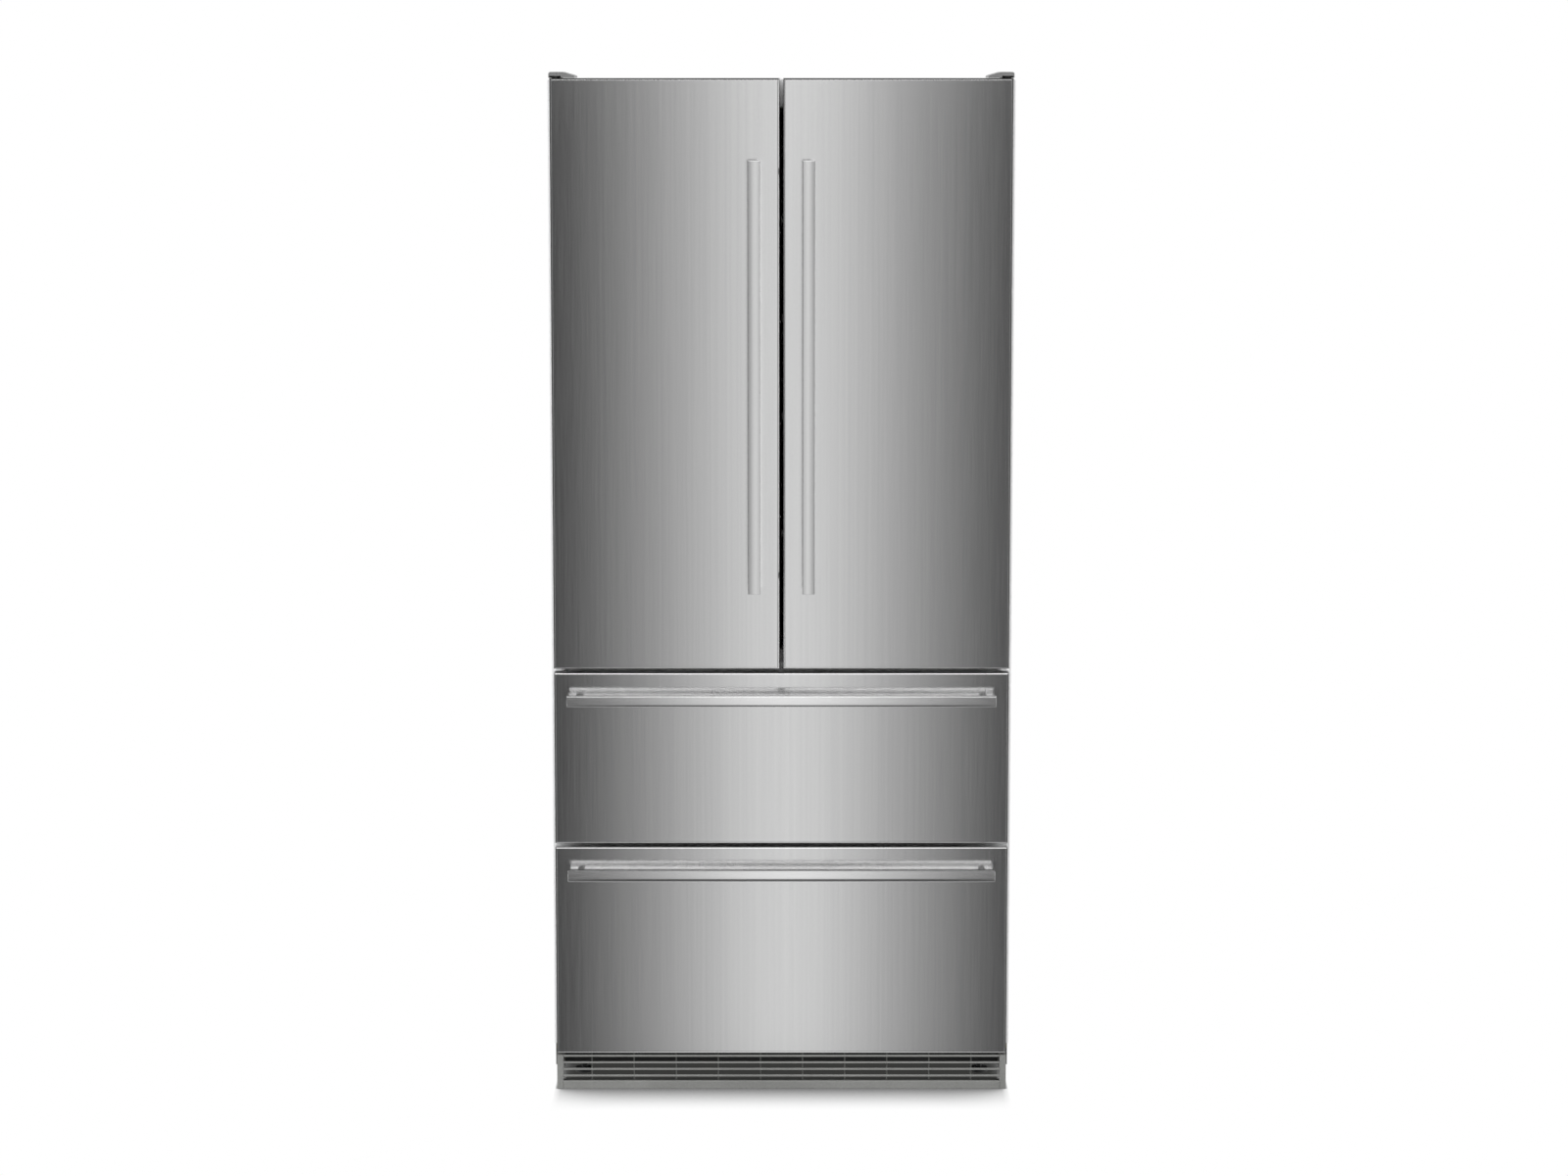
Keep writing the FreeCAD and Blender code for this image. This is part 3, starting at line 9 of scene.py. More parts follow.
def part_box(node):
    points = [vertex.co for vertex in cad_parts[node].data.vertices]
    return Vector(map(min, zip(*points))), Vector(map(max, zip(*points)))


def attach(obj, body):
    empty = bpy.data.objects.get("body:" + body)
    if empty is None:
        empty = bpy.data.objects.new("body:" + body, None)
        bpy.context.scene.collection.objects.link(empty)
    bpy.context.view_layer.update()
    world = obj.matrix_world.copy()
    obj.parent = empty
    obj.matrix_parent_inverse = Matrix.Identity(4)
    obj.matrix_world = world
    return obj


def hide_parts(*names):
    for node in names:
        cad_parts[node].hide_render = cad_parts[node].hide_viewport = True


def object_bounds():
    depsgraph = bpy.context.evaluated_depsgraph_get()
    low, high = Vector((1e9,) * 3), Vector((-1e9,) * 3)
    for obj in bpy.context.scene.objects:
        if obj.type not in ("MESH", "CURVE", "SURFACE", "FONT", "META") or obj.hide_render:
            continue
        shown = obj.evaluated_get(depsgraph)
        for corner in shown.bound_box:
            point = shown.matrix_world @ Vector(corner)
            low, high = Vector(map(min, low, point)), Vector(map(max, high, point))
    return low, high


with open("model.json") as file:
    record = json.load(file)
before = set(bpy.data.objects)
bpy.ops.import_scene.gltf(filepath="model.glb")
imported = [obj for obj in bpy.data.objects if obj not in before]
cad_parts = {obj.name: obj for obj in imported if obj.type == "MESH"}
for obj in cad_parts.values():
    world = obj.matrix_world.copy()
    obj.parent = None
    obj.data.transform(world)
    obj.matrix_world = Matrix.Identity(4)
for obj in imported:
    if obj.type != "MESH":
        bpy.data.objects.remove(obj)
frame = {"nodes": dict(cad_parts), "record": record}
cad_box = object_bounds()
nodes = frame["nodes"]

# The span that a noise texture mostly keeps to.
NOISE_SPAN = (0.3, 0.7)


class Nodes:
    """Builds a node tree; inputs are numbers or the outputs of other nodes."""

    def __init__(self, tree):
        self.tree = tree

    def add(self, kind, inputs=None, **settings):
        node = self.tree.nodes.new(kind)
        for key, setting in settings.items():
            setattr(node, key, setting)
        for socket, source in (inputs or {}).items():
            if isinstance(source, bpy.types.NodeSocket):
                self.tree.links.new(source, node.inputs[socket])
            else:
                node.inputs[socket].default_value = source
        return node

    def math(self, operation, a, b=0.0):
        return self.add("ShaderNodeMath", {0: a, 1: b}, operation=operation).outputs[0]

    def spread(self, source, low, high, span=NOISE_SPAN):
        """Number that runs from low to high while the source runs along the span."""
        start, end = span
        return self.add("ShaderNodeMapRange", {
            "Value": source, "From Min": start, "From Max": end,
            "To Min": low, "To Max": high}).outputs["Result"]

    def mix(self, share, first, second):
        """Colour between the first and the second one."""
        return self.add("ShaderNodeMix", {0: share, 6: first, 7: second},
                        data_type="RGBA").outputs[2]

    def object_place(self):
        return self.add("ShaderNodeTexCoord").outputs["Object"]

    def axes(self):
        """Object coordinates as the outputs X, Y and Z."""
        return self.add("ShaderNodeSeparateXYZ", {0: self.object_place()}).outputs


class Surface(Nodes):
    """A principled material that is built up node by node in object space."""

    def __init__(self, name, constants=None):
        self.material = bpy.data.materials.new(name)
        self.material.use_nodes = True
        super().__init__(self.material.node_tree)
        self.shader = self.tree.nodes["Principled BSDF"]
        for socket, number in (constants or {}).items():
            self.shader.inputs[socket].default_value = number
        self.place = self.object_place()

    def stretched(self, stretch):
        """Object coordinates, in cycles per metre along each axis."""
        return self.add("ShaderNodeMapping", {
            "Vector": self.place, "Scale": stretch}).outputs["Vector"]

    def noise(self, stretch, detail=2.0):
        return self.add("ShaderNodeTexNoise", {
            "Vector": self.stretched(stretch), "Scale": 1.0, "Detail": detail,
            "Roughness": 0.5}).outputs["Fac"]

    def even_noise(self, cycles, detail=2.0):
        """Noise with the same number of cycles per metre along all axes."""
        return self.noise((cycles, cycles, cycles), detail)

    def cell_greys(self, cycles):
        """A random grey in each cell, with so many cells per metre."""
        cells = self.add("ShaderNodeTexVoronoi", {
            "Vector": self.stretched((cycles, cycles, cycles)), "Scale": 1.0}, feature="F1")
        return self.add("ShaderNodeRGBToBW", {"Color": cells.outputs["Color"]}).outputs[0]

    def ramp(self, source, low, high, span=NOISE_SPAN):
        """Colour that runs from low to high."""
        node = self.add("ShaderNodeValToRGB", {"Fac": source})
        for stop, at, colour in zip(node.color_ramp.elements, span, (low, high)):
            stop.position = at
            stop.color = (*colour, 1.0)
        return node.outputs["Color"]

    def average(self, a, b, share=0.5):
        """Mix of two noises; share is the second one's part."""
        return self.math("ADD", self.math("MULTIPLY", a, 1 - share),
                         self.math("MULTIPLY", b, share))

    def link(self, source, socket):
        self.tree.links.new(source, self.shader.inputs[socket])

    def colour(self, source, low, high, span=NOISE_SPAN):
        self.link(self.ramp(source, low, high, span), "Base Color")

    def rough(self, source, low, high):
        self.link(self.spread(source, low, high), "Roughness")

    def bump(self, height, distance, strength):
        node = self.add("ShaderNodeBump", {
            "Height": height, "Distance": distance, "Strength": strength})
        self.link(node.outputs["Normal"], "Normal")


def brushed(name, fine, broad, low, high, gloss, anisotropic, relief=0.35):
    """Stainless steel with drawn lines; fine and broad are grains in cycles per metre."""
    metal = Surface(name, {"Metallic": 1.0, "Anisotropic": anisotropic})
    lines = metal.noise(fine, detail=3.0)
    bands = metal.noise(broad)
    metal.colour(metal.average(lines, bands, 0.45), low, high, span=(0.36, 0.64))
    metal.rough(lines, *gloss)
    metal.bump(lines, 0.00002, relief)
    return metal.material


# Soft clouds in plastic, in cycles per metre.
PLASTIC_CLOUD = 9


def moulded(name, low, high, gloss, grain, depth):
    """Plastic with a fine moulded grain; grain is in cycles per metre."""
    plastic = Surface(name)
    skin = plastic.even_noise(grain)
    cloud = plastic.even_noise(PLASTIC_CLOUD, detail=3.0)
    plastic.colour(plastic.average(skin, cloud), low, high)
    plastic.rough(cloud, *gloss)
    plastic.bump(skin, depth, 0.5)
    return plastic.material


def enamelled(name, low, high, gloss):
    """Painted sheet with a slight orange peel."""
    paint = Surface(name, {"Coat Weight": 0.15, "Coat Roughness": 0.25})
    peel = paint.even_noise(420, detail=1.0)
    cloud = paint.even_noise(5, detail=4.0)
    paint.colour(cloud, low, high)
    paint.rough(paint.average(peel, cloud, 0.6), *gloss)
    paint.bump(peel, 0.0001, 0.3)
    return paint.material


def galvanised(name, low, high, gloss, spangle):
    """Zinc-coated sheet; spangle is the crystals' number per metre."""
    zinc = Surface(name, {"Metallic": 0.85})
    fine = zinc.even_noise(700)
    zinc.colour(zinc.average(zinc.cell_greys(spangle), fine, 0.35), low, high, span=(0.2, 0.8))
    zinc.rough(fine, *gloss)
    zinc.bump(fine, 0.00003, 0.3)
    return zinc.material


# Depth behind the grille's front over which painted shade darkens its slots, and how far in from
# its ends
#  the caps reach, which stay pale without the painted shade.
SLOT_START, SLOT_END = 0.004, 0.013
CAP_START, CAP_END = 0.0128, 0.0122
# Colours of the painted shade inside the slots.
SLOT_SHADE = (0.05, 0.05, 0.045), (0.072, 0.072, 0.066)


def louvred(name, low, high, gloss, grain, depth):
    """Moulded grille with painted shade, dark behind the front of its slats."""
    plastic = Surface(name)
    front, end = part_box("plinth_grille")[0].y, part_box("plinth_grille")[1].x
    skin = plastic.even_noise(grain)
    cloud = plastic.even_noise(PLASTIC_CLOUD, detail=3.0)
    at = plastic.axes()
    # Painted shade mask: darker behind the slats' front, except near the pale end caps.
    inward = plastic.spread(at["Y"], 0.0, 1.0, (front + SLOT_START, front + SLOT_END))
    between = plastic.spread(plastic.math("ABSOLUTE", at["X"]), 1.0, 0.0,
                             (end - CAP_START, end - CAP_END))
    plastic.link(plastic.mix(plastic.math("MULTIPLY", inward, between),
                             plastic.ramp(plastic.average(skin, cloud), low, high),
                             plastic.ramp(cloud, *SLOT_SHADE)), "Base Color")
    plastic.rough(cloud, *gloss)
    plastic.bump(skin, depth, 0.5)
    return plastic.material


def clear(name, tint, gloss, ior, wave):
    """Clear moulded plastic or glass with a faint surface wave."""
    pane = Surface(name, {"Transmission Weight": 1.0, "IOR": ior})
    ripple = pane.even_noise(wave, detail=1.0)
    haze = pane.even_noise(14, detail=4.0)
    pane.colour(haze, [0.96 * c for c in tint], tint)
    pane.rough(haze, *gloss)
    pane.bump(ripple, 0.0001, 0.15)
    return pane.material


def grey(level):
    return (level, level, level)


steel_face = brushed(
    "steel_face", fine=(1250, 1250, 7), broad=(170, 170, 0.8), low=(0.585, 0.585, 0.587),
    high=(0.625, 0.625, 0.623), gloss=(0.135, 0.17), anisotropic=0.5, relief=0.26)
steel_upright = brushed(
    "steel_upright", fine=(1400, 1400, 9), broad=(260, 260, 2), low=grey(0.60), high=grey(0.65),
    gloss=(0.15, 0.2), anisotropic=0.3)
# Same handle steel as the upright bars, with a lighter colour that is painted light on the drawer
# bars.
steel_level_lit = brushed(
    "steel_level_lit", fine=(28, 1400, 1400), broad=(4, 260, 260), low=grey(0.76), high=grey(0.81),
    gloss=(0.16, 0.21), anisotropic=0.3, relief=0.04)
slide_steel = brushed(
    "slide_steel", fine=(1100, 4, 1100), broad=(150, 2, 150), low=(0.60, 0.61, 0.62),
    high=(0.72, 0.72, 0.72), gloss=(0.26, 0.36), anisotropic=0.3)
zinc_sheet = galvanised(
    "zinc_sheet", low=(0.40, 0.41, 0.42), high=(0.49, 0.50, 0.51), gloss=(0.3, 0.46), spangle=170)

BY_SLOT = {
    "stainless": steel_face,
    "handle_steel": steel_upright,
    "zinc": zinc_sheet,
    "fins": galvanised(
        "fin_metal", low=(0.66, 0.67, 0.68), high=grey(0.80), gloss=(0.28, 0.4), spangle=260),
    "cabinet_grey": enamelled(
        "cabinet_paint", low=(0.748, 0.748, 0.753), high=(0.778, 0.778, 0.783),
        gloss=(0.34, 0.46)),
    "hinge_black": enamelled(
        "hinge_paint", low=grey(0.018), high=grey(0.035), gloss=(0.36, 0.5)),
    "compressor_black": enamelled(
        "can_enamel", low=grey(0.012), high=grey(0.024), gloss=(0.22, 0.34)),
    "liner_white": moulded(
        "liner_plastic", low=(0.825, 0.83, 0.83), high=(0.85, 0.855, 0.855), gloss=(0.24, 0.34),
        grain=330, depth=0.00008),
    "cover_grey": moulded(
        "cover_plastic", low=grey(0.12), high=grey(0.18), gloss=(0.28, 0.4),
        grain=900, depth=0.0001),
    "plinth_grey": louvred(
        "plinth_plastic", low=(0.175, 0.177, 0.17), high=(0.235, 0.237, 0.228),
        gloss=(0.45, 0.62), grain=420, depth=0.00018),
    "fan_plastic": moulded(
        "fan_plastic", low=grey(0.025), high=grey(0.045), gloss=(0.4, 0.55),
        grain=800, depth=0.0001),
    "mullion_dark": moulded(
        "mullion_plastic", low=(0.03, 0.032, 0.035), high=(0.05, 0.053, 0.057),
        gloss=(0.42, 0.55), grain=800, depth=0.0001),
    "seal": moulded(
        "seal_rubber", low=grey(0.010), high=grey(0.022), gloss=(0.55, 0.72),
        grain=1100, depth=0.00012),
    "rubber": moulded(
        "tread_rubber", low=grey(0.015), high=grey(0.035), gloss=(0.65, 0.85),
        grain=700, depth=0.0002),
    "foam": moulded(
        "foam_core", low=(0.70, 0.62, 0.40), high=(0.82, 0.74, 0.52), gloss=(0.8, 0.95),
        grain=500, depth=0.0006),
    "light_lens": moulded(
        "light_lens", low=(0.88, 0.88, 0.85), high=(0.94, 0.94, 0.92), gloss=(0.3, 0.4),
        grain=260, depth=0.0004),
    "clear_plastic": clear(
        "bin_plastic", tint=(0.90, 0.945, 0.96), gloss=(0.05, 0.11), ior=1.45, wave=45),
    "shelf_glass": clear(
        "shelf_glass", tint=(0.90, 0.965, 0.945), gloss=(0.01, 0.03), ior=1.5, wave=12),
}
for row in frame["record"]["subparts"]:
    node = row["node"]
    look = BY_SLOT[row["material_slot"]]
    if node.endswith("_rails") and node != "cross_rails":
        look = slide_steel
    for slot in nodes[node].material_slots:
        slot.material = look


def lathe(mesh, seat, profile, radius, sides):
    """Add a turned form; profile is (radius, height) from the foot up, in parts of radius."""
    rings = []
    for out, height in profile:
        rings.append([mesh.verts.new(seat @ Vector((
            radius * out * math.cos(2 * math.pi * i / sides),
            radius * out * math.sin(2 * math.pi * i / sides), radius * height)))
            for i in range(sides)])
    for low, high in zip(rings, rings[1:]):
        for i in range(sides):
            j = (i + 1) % sides
            mesh.faces.new((low[i], low[j], high[j], high[i]))
    mesh.faces.new(rings[-1])
    mesh.faces.new(list(reversed(rings[0])))


def piece(name, mesh, body, look):
    """Turn a bmesh into a piece that rides on a body."""
    data = bpy.data.meshes.new(name)
    bmesh.ops.recalc_face_normals(mesh, faces=mesh.faces)
    mesh.to_mesh(data)
    mesh.free()
    obj = bpy.data.objects.new(name, data)
    bpy.context.scene.collection.objects.link(obj)
    data.materials.append(look)
    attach(obj, body)
    return obj


# A hex-head screw in parts of the head's radius: (radius, height) from the foot up.
WASHER = ((1.35, 0), (1.35, 0.12), (1.1, 0.25))
HEAD = ((1, 0), (1, 0.4), (0.82, 0.52))
CROWN = ((0.62, 0.4), (0.55, 0.56))
HEAD_FOOT = 0.2
ROUND_SIDES, HEX_SIDES = 20, 6


def screws(name, spots, out, radius, body, look):
    """Hex-head screws with a washer flange, one at each spot, heads pointing out."""
    mesh = bmesh.new()
    turn = Vector(out).to_track_quat("Z", "Y").to_matrix().to_4x4()
    for spot in spots:
        seat = Matrix.Translation(spot) @ turn
        head_seat = seat @ Matrix.Translation((0, 0, radius * HEAD_FOOT))
        lathe(mesh, seat, WASHER, radius, ROUND_SIDES)
        lathe(mesh, head_seat, HEAD, radius, HEX_SIDES)
        lathe(mesh, head_seat, CROWN, radius, ROUND_SIDES)
    return piece(name, mesh, body, look)


def rounded_loop(corners, steps):
    """Closed section from corners (across, depth, radius), each corner rounded in steps."""
    loop = []
    for i, (across, depth, radius) in enumerate(corners):
        at = Vector((across, depth))
        back = (Vector(corners[i - 1][:2]) - at).normalized()
        ahead = (Vector(corners[(i + 1) % len(corners)][:2]) - at).normalized()
        half = back.angle(ahead) / 2
        middle = at + (back + ahead).normalized() * (radius / math.sin(half))
        start, end = (at + way * (radius / math.tan(half)) - middle for way in (back, ahead))
        loop += [middle + start.lerp(end, k / steps).normalized() * radius
                 for k in range(steps + 1)]
    return loop


def sweep(mesh, rings):
    """Close a row of rings into one skin, smooth but for its two flat ends."""
    rings = [[mesh.verts.new(spot) for spot in ring] for ring in rings]
    count = len(rings[0])
    for low, high in zip(rings, rings[1:]):
        for i in range(count):
            j = (i + 1) % count
            mesh.faces.new((low[i], low[j], high[j], high[i])).smooth = True
    mesh.faces.new(rings[0])
    mesh.faces.new(rings[-1])


# Handle sections in millimetres, as (across, depth, corner radius) from the lower or left front
# corner. Drawer bars are bowed and lean back, door bars are nearly flat.
DRAWER_BAR = [(-12.25, 4.2, 1.2), (0.4, 0, 28), (12.25, 6.1, 1.6), (-5.5, 15.8, 6),
              (-12.25, 16.3, 2.5)]
DOOR_BAR = [(-12.25, 0.75, 1.2), (0, 0, 178), (12.25, 0.75, 1.2), (12.25, 5.3, 1),
            (5.25, 14.3, 2), (-5.25, 14.3, 2), (-12.25, 5.3, 1)]
SECTION_WIDTH = 24.5
CORNER_STEPS = 8
# Rounding of a bar's ends, and the ring behind it that keeps the long sides' shading straight.
END_RADIUS, END_STEPS, SUPPORT = 0.0009, 4, 1.3
# Posts: their distance from the bar's ends, half their boss's width, and where along the bar's
# depth the boss starts and ends, from the middle.
POST_INSET, BOSS_HALF = 0.024, 0.004
BOSS_DEPTH = (-0.2, 0.5)


def handle_bar(node, corners, level, body, look):
    """Bar that stands for a CAD handle: one section swept along x (level) or z."""
    low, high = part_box(node)
    size, middle = high - low, (low + high) / 2
    width, length = (size.z, size.x) if level else (size.x, size.z)
    loop = rounded_loop(corners, CORNER_STEPS)
    front, back = min(p.y for p in loop), max(p.y for p in loop)
    loop = [(p.x / SECTION_WIDTH * width, ((p.y - front) / (back - front) - 0.5) * size.y)
            for p in loop]

    def spot(across, depth, along):
        if level:
            return Vector((low.x + along, middle.y + depth, middle.z + across))
        return Vector((middle.x + across, middle.y + depth, low.z + along))

    stations = []
    for k in range(END_STEPS + 1):
        turn = math.radians(90 * (1 - k / END_STEPS))
        stations.append((END_RADIUS * (1 - math.sin(turn)), END_RADIUS * (1 - math.cos(turn))))
    stations.append((END_RADIUS * SUPPORT, 0.0))
    stations += [(length - along, inset) for along, inset in reversed(stations)]
    mesh = bmesh.new()
    sweep(mesh, [[spot(across * (1 - 2 * inset / width), depth * (1 - 2 * inset / size.y), along)
                  for across, depth in loop] for along, inset in stations])
    # Bosses that meet the posts.
    boss = [(BOSS_HALF, -BOSS_HALF), (BOSS_HALF, BOSS_HALF), (-BOSS_HALF, BOSS_HALF),
            (-BOSS_HALF, -BOSS_HALF)]
    for along in (POST_INSET, length - POST_INSET):
        sweep(mesh, [[spot(across, share * size.y, along + step) for across, step in boss]
                     for share in BOSS_DEPTH])
    obj = piece(f"{node}_bar", mesh, body, look)
    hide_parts(node)
    return obj


for side in ("left", "right"):
    handle_bar(f"{side}_door_handle", DOOR_BAR, False, f"{side}_door", steel_upright)
for drawer in ("upper_drawer", "lower_drawer"):
    handle_bar(f"{drawer}_handle", DRAWER_BAR, True, drawer, steel_level_lit)

# Screws that the solids leave out. On the mullion they show in the gap between the doors.
FRONTWARD, BACKWARD = (0, -1, 0), (0, 1, 0)
MULLION_SHARES, MULLION_EDGE, MULLION_SCREW = (0.245, 0.42, 0.61, 0.775), 0.0016, 0.001
low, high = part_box("flip_mullion")
spots = [Vector((high.x - MULLION_EDGE, low.y, low.z + (high.z - low.z) * share))
         for share in MULLION_SHARES]
screws("mullion_screws", spots, FRONTWARD, MULLION_SCREW, "mullion", slide_steel)

# Two on each leg of the middle hinges.
LEG_EDGE, LEG_FACE, LEG_SPACING, LEG_SCREW = 0.011, 0.003, 0.02, 0.0035
low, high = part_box("middle_hinges")
middle = (low.z + high.z) / 2
for side, sign in (("left", -1), ("right", 1)):
    spots = [Vector((sign * (high.x - LEG_EDGE), high.y - LEG_FACE, z))
             for z in (middle - LEG_SPACING, middle + LEG_SPACING)]
    screws(f"{side}_hinge_screws", spots, FRONTWARD, LEG_SCREW, "cabinet", zinc_sheet)

# A row along the machine cover's upper and lower edges.
COVER_END, COVER_RIM, COVER_FACE, COVER_SCREW = 0.02, 0.012, 0.004, 0.0045
COVER_GAPS = 5
low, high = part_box("machine_cover")
run = high.x - low.x - 2 * COVER_END
spots = [Vector((low.x + COVER_END + run * i / COVER_GAPS, high.y - COVER_FACE, z))
         for z in (low.z + COVER_RIM, high.z - COVER_RIM) for i in range(COVER_GAPS + 1)]
screws("cover_screws", spots, BACKWARD, COVER_SCREW, "cabinet", zinc_sheet)

WHITE = (1, 1, 1, 1)


class Stage(Nodes):
    """The node tree of a stage material or the world, started empty."""

    def __init__(self, owner):
        owner.use_nodes = True
        super().__init__(owner.node_tree)
        self.tree.nodes.clear()

    def seen(self):
        """1 for rays from the camera, off gloss and through glass."""
        path = self.add("ShaderNodeLightPath").outputs
        direct = self.math("MAXIMUM", path["Is Camera Ray"], path["Is Glossy Ray"])
        return self.math("MAXIMUM", direct, path["Is Transmission Ray"])

    def contact_shadow(self, reach):
        """Painted floor shadow from ambient occlusion: dark under the object, white at about reach
        metres from it.
        """
        open_sky = self.add("ShaderNodeAmbientOcclusion", {"Distance": reach}, samples=16)
        fade = self.add("ShaderNodeValToRGB", {"Fac": open_sky.outputs["AO"]})
        stops = fade.color_ramp.elements
        stops[0].position, stops[0].color = 0.2, (0.04, 0.04, 0.038, 1)
        stops[1].position, stops[1].color = 0.97, WHITE
        stops.new(0.5).color = (0.2, 0.2, 0.2, 1)
        return fade.outputs["Color"]


def rectangle(name, corners):
    """One flat four-cornered object of the stage, without a material yet."""
    data = bpy.data.meshes.new(name)
    data.from_pydata(corners, [], [(0, 1, 2, 3)])
    obj = bpy.data.objects.new(name, data)
    bpy.context.scene.collection.objects.link(obj)
    return obj


def upright(start, end, low, high):
    """Corners of a card that stands between two (x, y) spots."""
    return [(*start, low), (*end, low), (*end, high), (*start, high)]


def flat(half, front, back, height):
    """Corners of a card that lies at a height."""
    return [(-half, front, height), (half, front, height), (half, back, height),
            (-half, back, height)]


# Floor: white to the eye, with a painted shadow where the cabinet stands, its glow darkened by
# ambient occlusion.
#  The painted shadow lies in front of the plinth; beside and behind the cabinet only its edge is
#  dark.
FLOOR_REACH = 60.0
FRONT_SHADOW, EDGE_SHADOW = 0.17, 0.005
floor = rectangle("studio_floor", flat(FLOOR_REACH, -FLOOR_REACH, FLOOR_REACH, 0))
paper = bpy.data.materials.new("studio_paper")
stage = Stage(paper)
side_x, back_y, plinth_y = cad_box[1].x, cad_box[1].y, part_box("plinth_grille")[0].y
at = stage.axes()
aside = stage.math("ABSOLUTE", at["X"])
beside = stage.spread(aside, 0.0, 1.0, (side_x - 0.009, side_x - 0.003))
behind = stage.spread(at["Y"], 0.0, 1.0, (back_y - 0.01, back_y + 0.01))
before = stage.spread(at["Y"], 0.0, 1.0, (plinth_y + 0.005, plinth_y - 0.005))
corner = stage.math("MULTIPLY", stage.spread(aside, 0.0, 1.0, (side_x - 0.016, side_x)), before)
edge = stage.math("MAXIMUM", stage.math("MAXIMUM", beside, behind), corner)
shade = stage.mix(edge, stage.contact_shadow(FRONT_SHADOW), stage.contact_shadow(EDGE_SHADOW))
glow = stage.add("ShaderNodeEmission", {"Strength": 1.0, "Color": shade})
matt = stage.add("ShaderNodeBsdfDiffuse", {"Color": (0.8, 0.8, 0.8, 1)})
both = stage.add("ShaderNodeMixShader", {0: stage.seen(), 1: matt.outputs[0], 2: glow.outputs[0]})
stage.add("ShaderNodeOutputMaterial", {"Surface": both.outputs[0]})
floor.data.materials.append(paper)
floor.visible_glossy = False

# Studio surround: white wherever it is seen, softer where it lights matt surfaces.
AMBIENT = 0.62
world = bpy.data.worlds.new("studio_surround")
bpy.context.scene.world = world
stage = Stage(world)
soft = stage.add("ShaderNodeBackground", {"Color": WHITE, "Strength": AMBIENT})
full = stage.add("ShaderNodeBackground", {"Color": WHITE, "Strength": 1.0})
both = stage.add("ShaderNodeMixShader", {0: stage.seen(), 1: soft.outputs[0], 2: full.outputs[0]})
stage.add("ShaderNodeOutputWorld", {"Surface": both.outputs[0]})


def card(name, corners, brightness):
    """Studio card that only shows in gloss; brightness is a number or builds its nodes."""
    obj = rectangle(name, corners)
    material = bpy.data.materials.new(name)
    stage = Stage(material)
    strength = brightness(stage) if callable(brightness) else brightness
    lamp = stage.add("ShaderNodeEmission", {"Color": WHITE, "Strength": strength})
    stage.add("ShaderNodeOutputMaterial", {"Surface": lamp.outputs[0]})
    obj.data.materials.append(material)
    for kind in ("camera", "diffuse", "transmission", "volume_scatter", "shadow"):
        setattr(obj, f"visible_{kind}", False)
    return obj


# Brightness of the front card by distance from its middle, in metres.
FALLOFF = ((0.0, 1.26), (0.12, 1.01), (0.20, 0.75), (0.30, 0.51), (0.44, 0.30), (0.57, 0.0),
           (0.80, 0.0), (1.0, 0.4))
CARD_SHIFT = 0.012


def softbox(stage):
    """Bright in the middle, falling off to dark sides; dark again near the floor."""
    at = stage.axes()
    away = stage.math("ABSOLUTE", stage.math("SUBTRACT", at["X"], CARD_SHIFT))
    across = stage.add("ShaderNodeValToRGB", {"Fac": away})
    stops = across.color_ramp.elements
    stops[1].position = FALLOFF[-1][0]
    for distance, _ in FALLOFF[1:-1]:
        stops.new(distance)
    for stop, (_, level) in zip(stops, FALLOFF):
        stop.color = (*grey(level), 1)
    under = stage.spread(at["Z"], 0.15, 1.0, (-0.9, -0.5))
    upper = stage.math("MULTIPLY", across.outputs["Color"], under)
    # Low on both sides a grey level, which only open drawers and views from above mirror.
    outer = stage.spread(away, 0.0, 1.0, (0.5, 0.7))
    lower = stage.spread(at["Z"], 0.3, 0.0, (-0.85, -0.55))
    return stage.math("ADD", upper, stage.math("MULTIPLY", outer, lower))


def floor_glow(stage):
    """The floor as the steel sees it: bright in the middle and near the plinth."""
    at = stage.axes()
    across = stage.spread(stage.math("ABSOLUTE", at["X"]), 2.0, 0.12, (0.0, 0.9))
    near = stage.spread(at["Y"], 0.15, 1.0, (-1.9, -1.2))
    behind = stage.spread(at["Y"], 1.0, 0.4, (-0.5, 0.1))
    return stage.math("MULTIPLY", stage.math("MULTIPLY", across, near), behind)


def low_strip(stage):
    """Left side: a strip light near the floor, dark above it."""
    return stage.spread(stage.axes()["Z"], 2.2, 0.38, (0.55, 0.75))


FRONT_HALF, FRONT_Y = 1.5, -2.5
CARD_LOW, FRONT_HIGH, SIDE_HIGH = -1.7, 2.2, 3.0
card("front_softbox", upright((-FRONT_HALF, FRONT_Y), (FRONT_HALF, FRONT_Y), CARD_LOW, FRONT_HIGH),
     softbox)
# Side cards run back from the front card's ends: a grey part, then one that lights the edges.
SIDE_MID, SIDE_FAR = (1.92, -1.2), (2.6, 0.9)
FILL, RIGHT_RIM = 0.42, 2.4
for side, sign, rim in (("left", -1, low_strip), ("right", 1, RIGHT_RIM)):
    near, mid, far = ((sign * x, y) for x, y in ((FRONT_HALF, FRONT_Y), SIDE_MID, SIDE_FAR))
    card(f"{side}_fill_card", upright(near, mid, CARD_LOW, SIDE_HIGH), FILL)
    card(f"{side}_rim_card", upright(mid, far, CARD_LOW, SIDE_HIGH), rim)
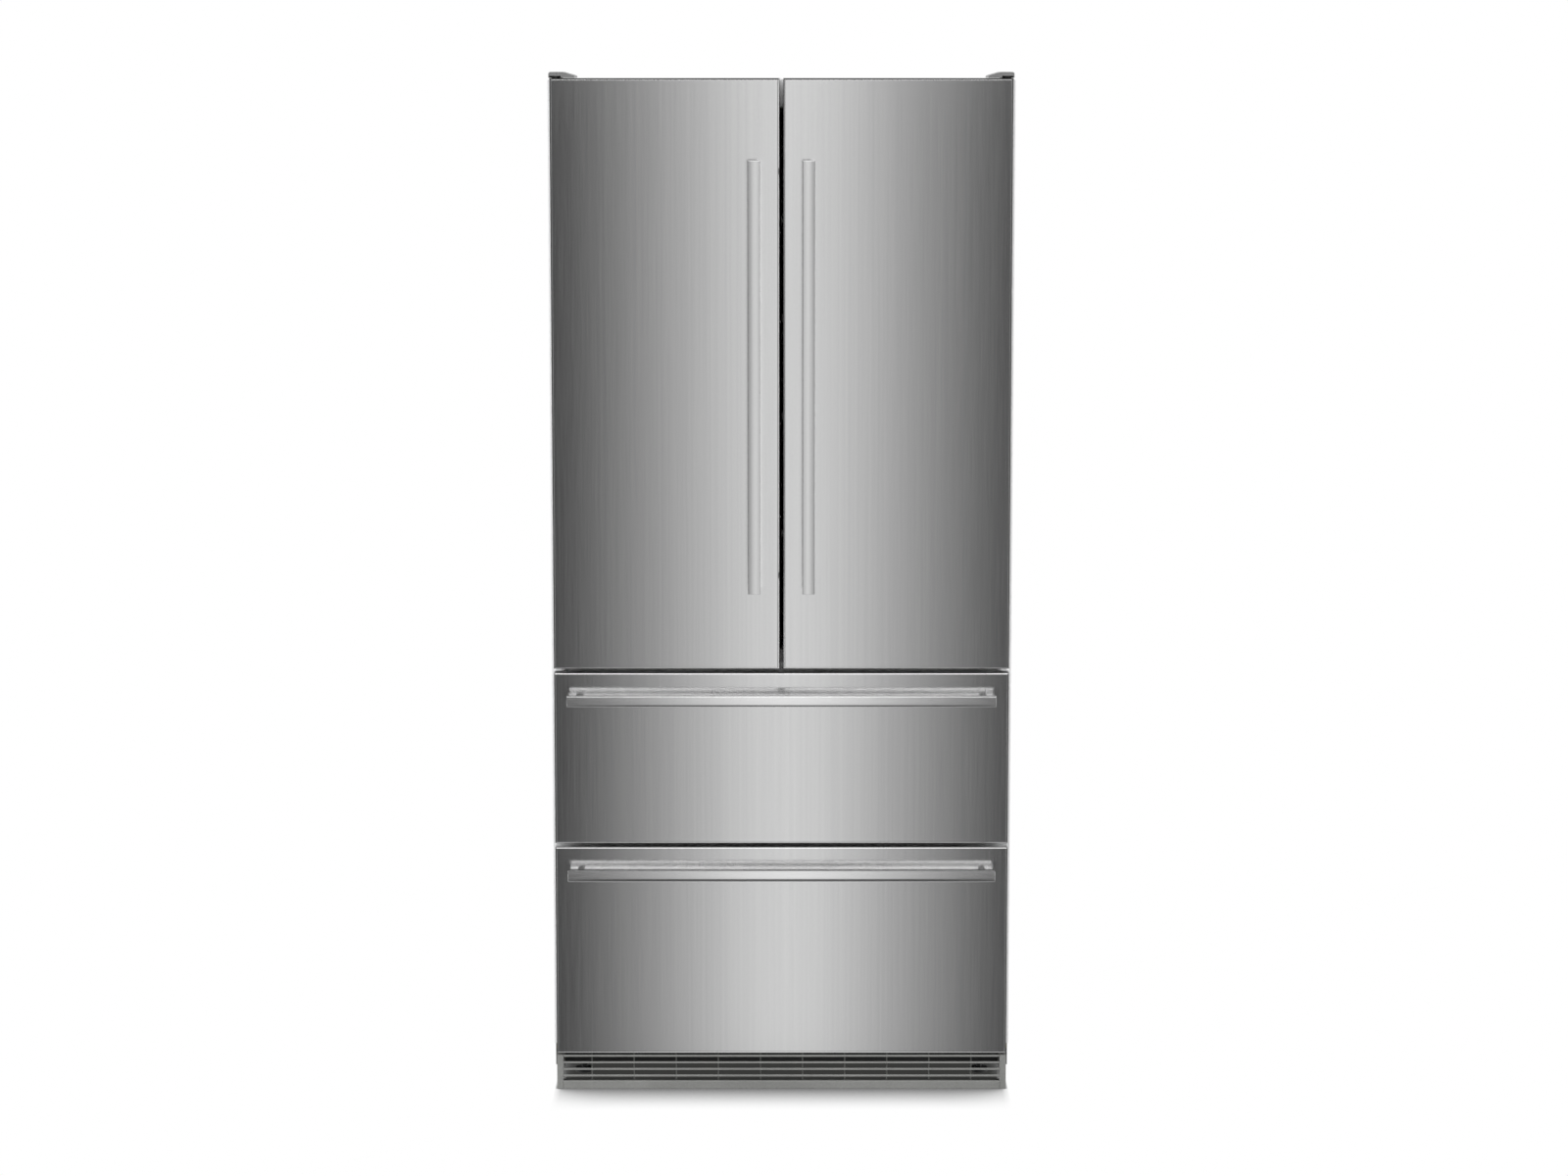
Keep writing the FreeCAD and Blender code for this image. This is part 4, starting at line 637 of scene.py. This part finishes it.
# Dark flags close to the outer edges of the fronts.
FLAG_GAP, FLAG_FRONT, FLAG_BACK = 0.05, -0.36, -0.15
SIDE_FLAG, TOP_FLAG = 0.1, 0.15
for side, flag_x in (("left", cad_box[0].x - FLAG_GAP), ("right", cad_box[1].x + FLAG_GAP)):
    card(f"{side}_edge_flag", upright((flag_x, FLAG_FRONT), (flag_x, FLAG_BACK), 0.05, 2.1),
         SIDE_FLAG)
card("top_edge_flag", flat(0.5, -0.5, FLAG_BACK, 2.05), TOP_FLAG)
# Above and below: a bright strip over the front card, the floor and the ceiling.
HEADER, CEILING = 3.4, 0.65
card("header_card", [(-2, -2.5, 2.35), (2, -2.5, 2.35), (2, -2.2, 3.6), (-2, -2.2, 3.6)], HEADER)
card("floor_card", flat(3, -3, 3, CARD_LOW), floor_glow)
card("top_card", flat(2, -2.4, 1.5, 4), CEILING)


def area_lamp(name, at, towards, size, power):
    """Soft square lamp for matt surfaces, in watts; gloss doesn't show it."""
    data = bpy.data.lights.new(name, "AREA")
    data.shape = "SQUARE"
    data.size = size
    data.energy = power
    lamp = bpy.data.objects.new(name, data)
    bpy.context.scene.collection.objects.link(lamp)
    lamp.location = at
    lamp.rotation_euler = (Vector(towards) - Vector(at)).to_track_quat("-Z", "Y").to_euler()
    lamp.visible_camera = False
    lamp.visible_glossy = False
    return lamp


area_lamp("key_lamp", at=(-1.6, -3.4, 3.2), towards=(0, -0.2, 1.1), size=2.4, power=45)
area_lamp("top_lamp", at=(0.4, -0.6, 4.4), towards=(0, 0, 1.5), size=2.6, power=30)
for side, sign in (("left", -1), ("right", 1)):
    area_lamp(f"{side}_side_lamp", at=(sign * 3.2, -1.8, 1.1), towards=(sign * 0.4, -0.2, 1.0),
              size=1.6, power=45)

# Camera at the photograph's place.
CAMERA_PLACE, CAMERA_AIM = Vector((0.005, -7.789, 2.02)), Vector((0.005, -0.289, 1.008))
camera_data = bpy.data.cameras.new("photo_camera")
camera_data.sensor_width = 36.0
camera_data.lens = 88.7
camera = bpy.data.objects.new("photo_camera", camera_data)
bpy.context.scene.collection.objects.link(camera)
camera.location = CAMERA_PLACE
camera.rotation_euler = (CAMERA_AIM - CAMERA_PLACE).to_track_quat("-Z", "Y").to_euler()
bpy.context.scene.camera = camera
bpy.context.scene.view_settings.view_transform = "Standard"
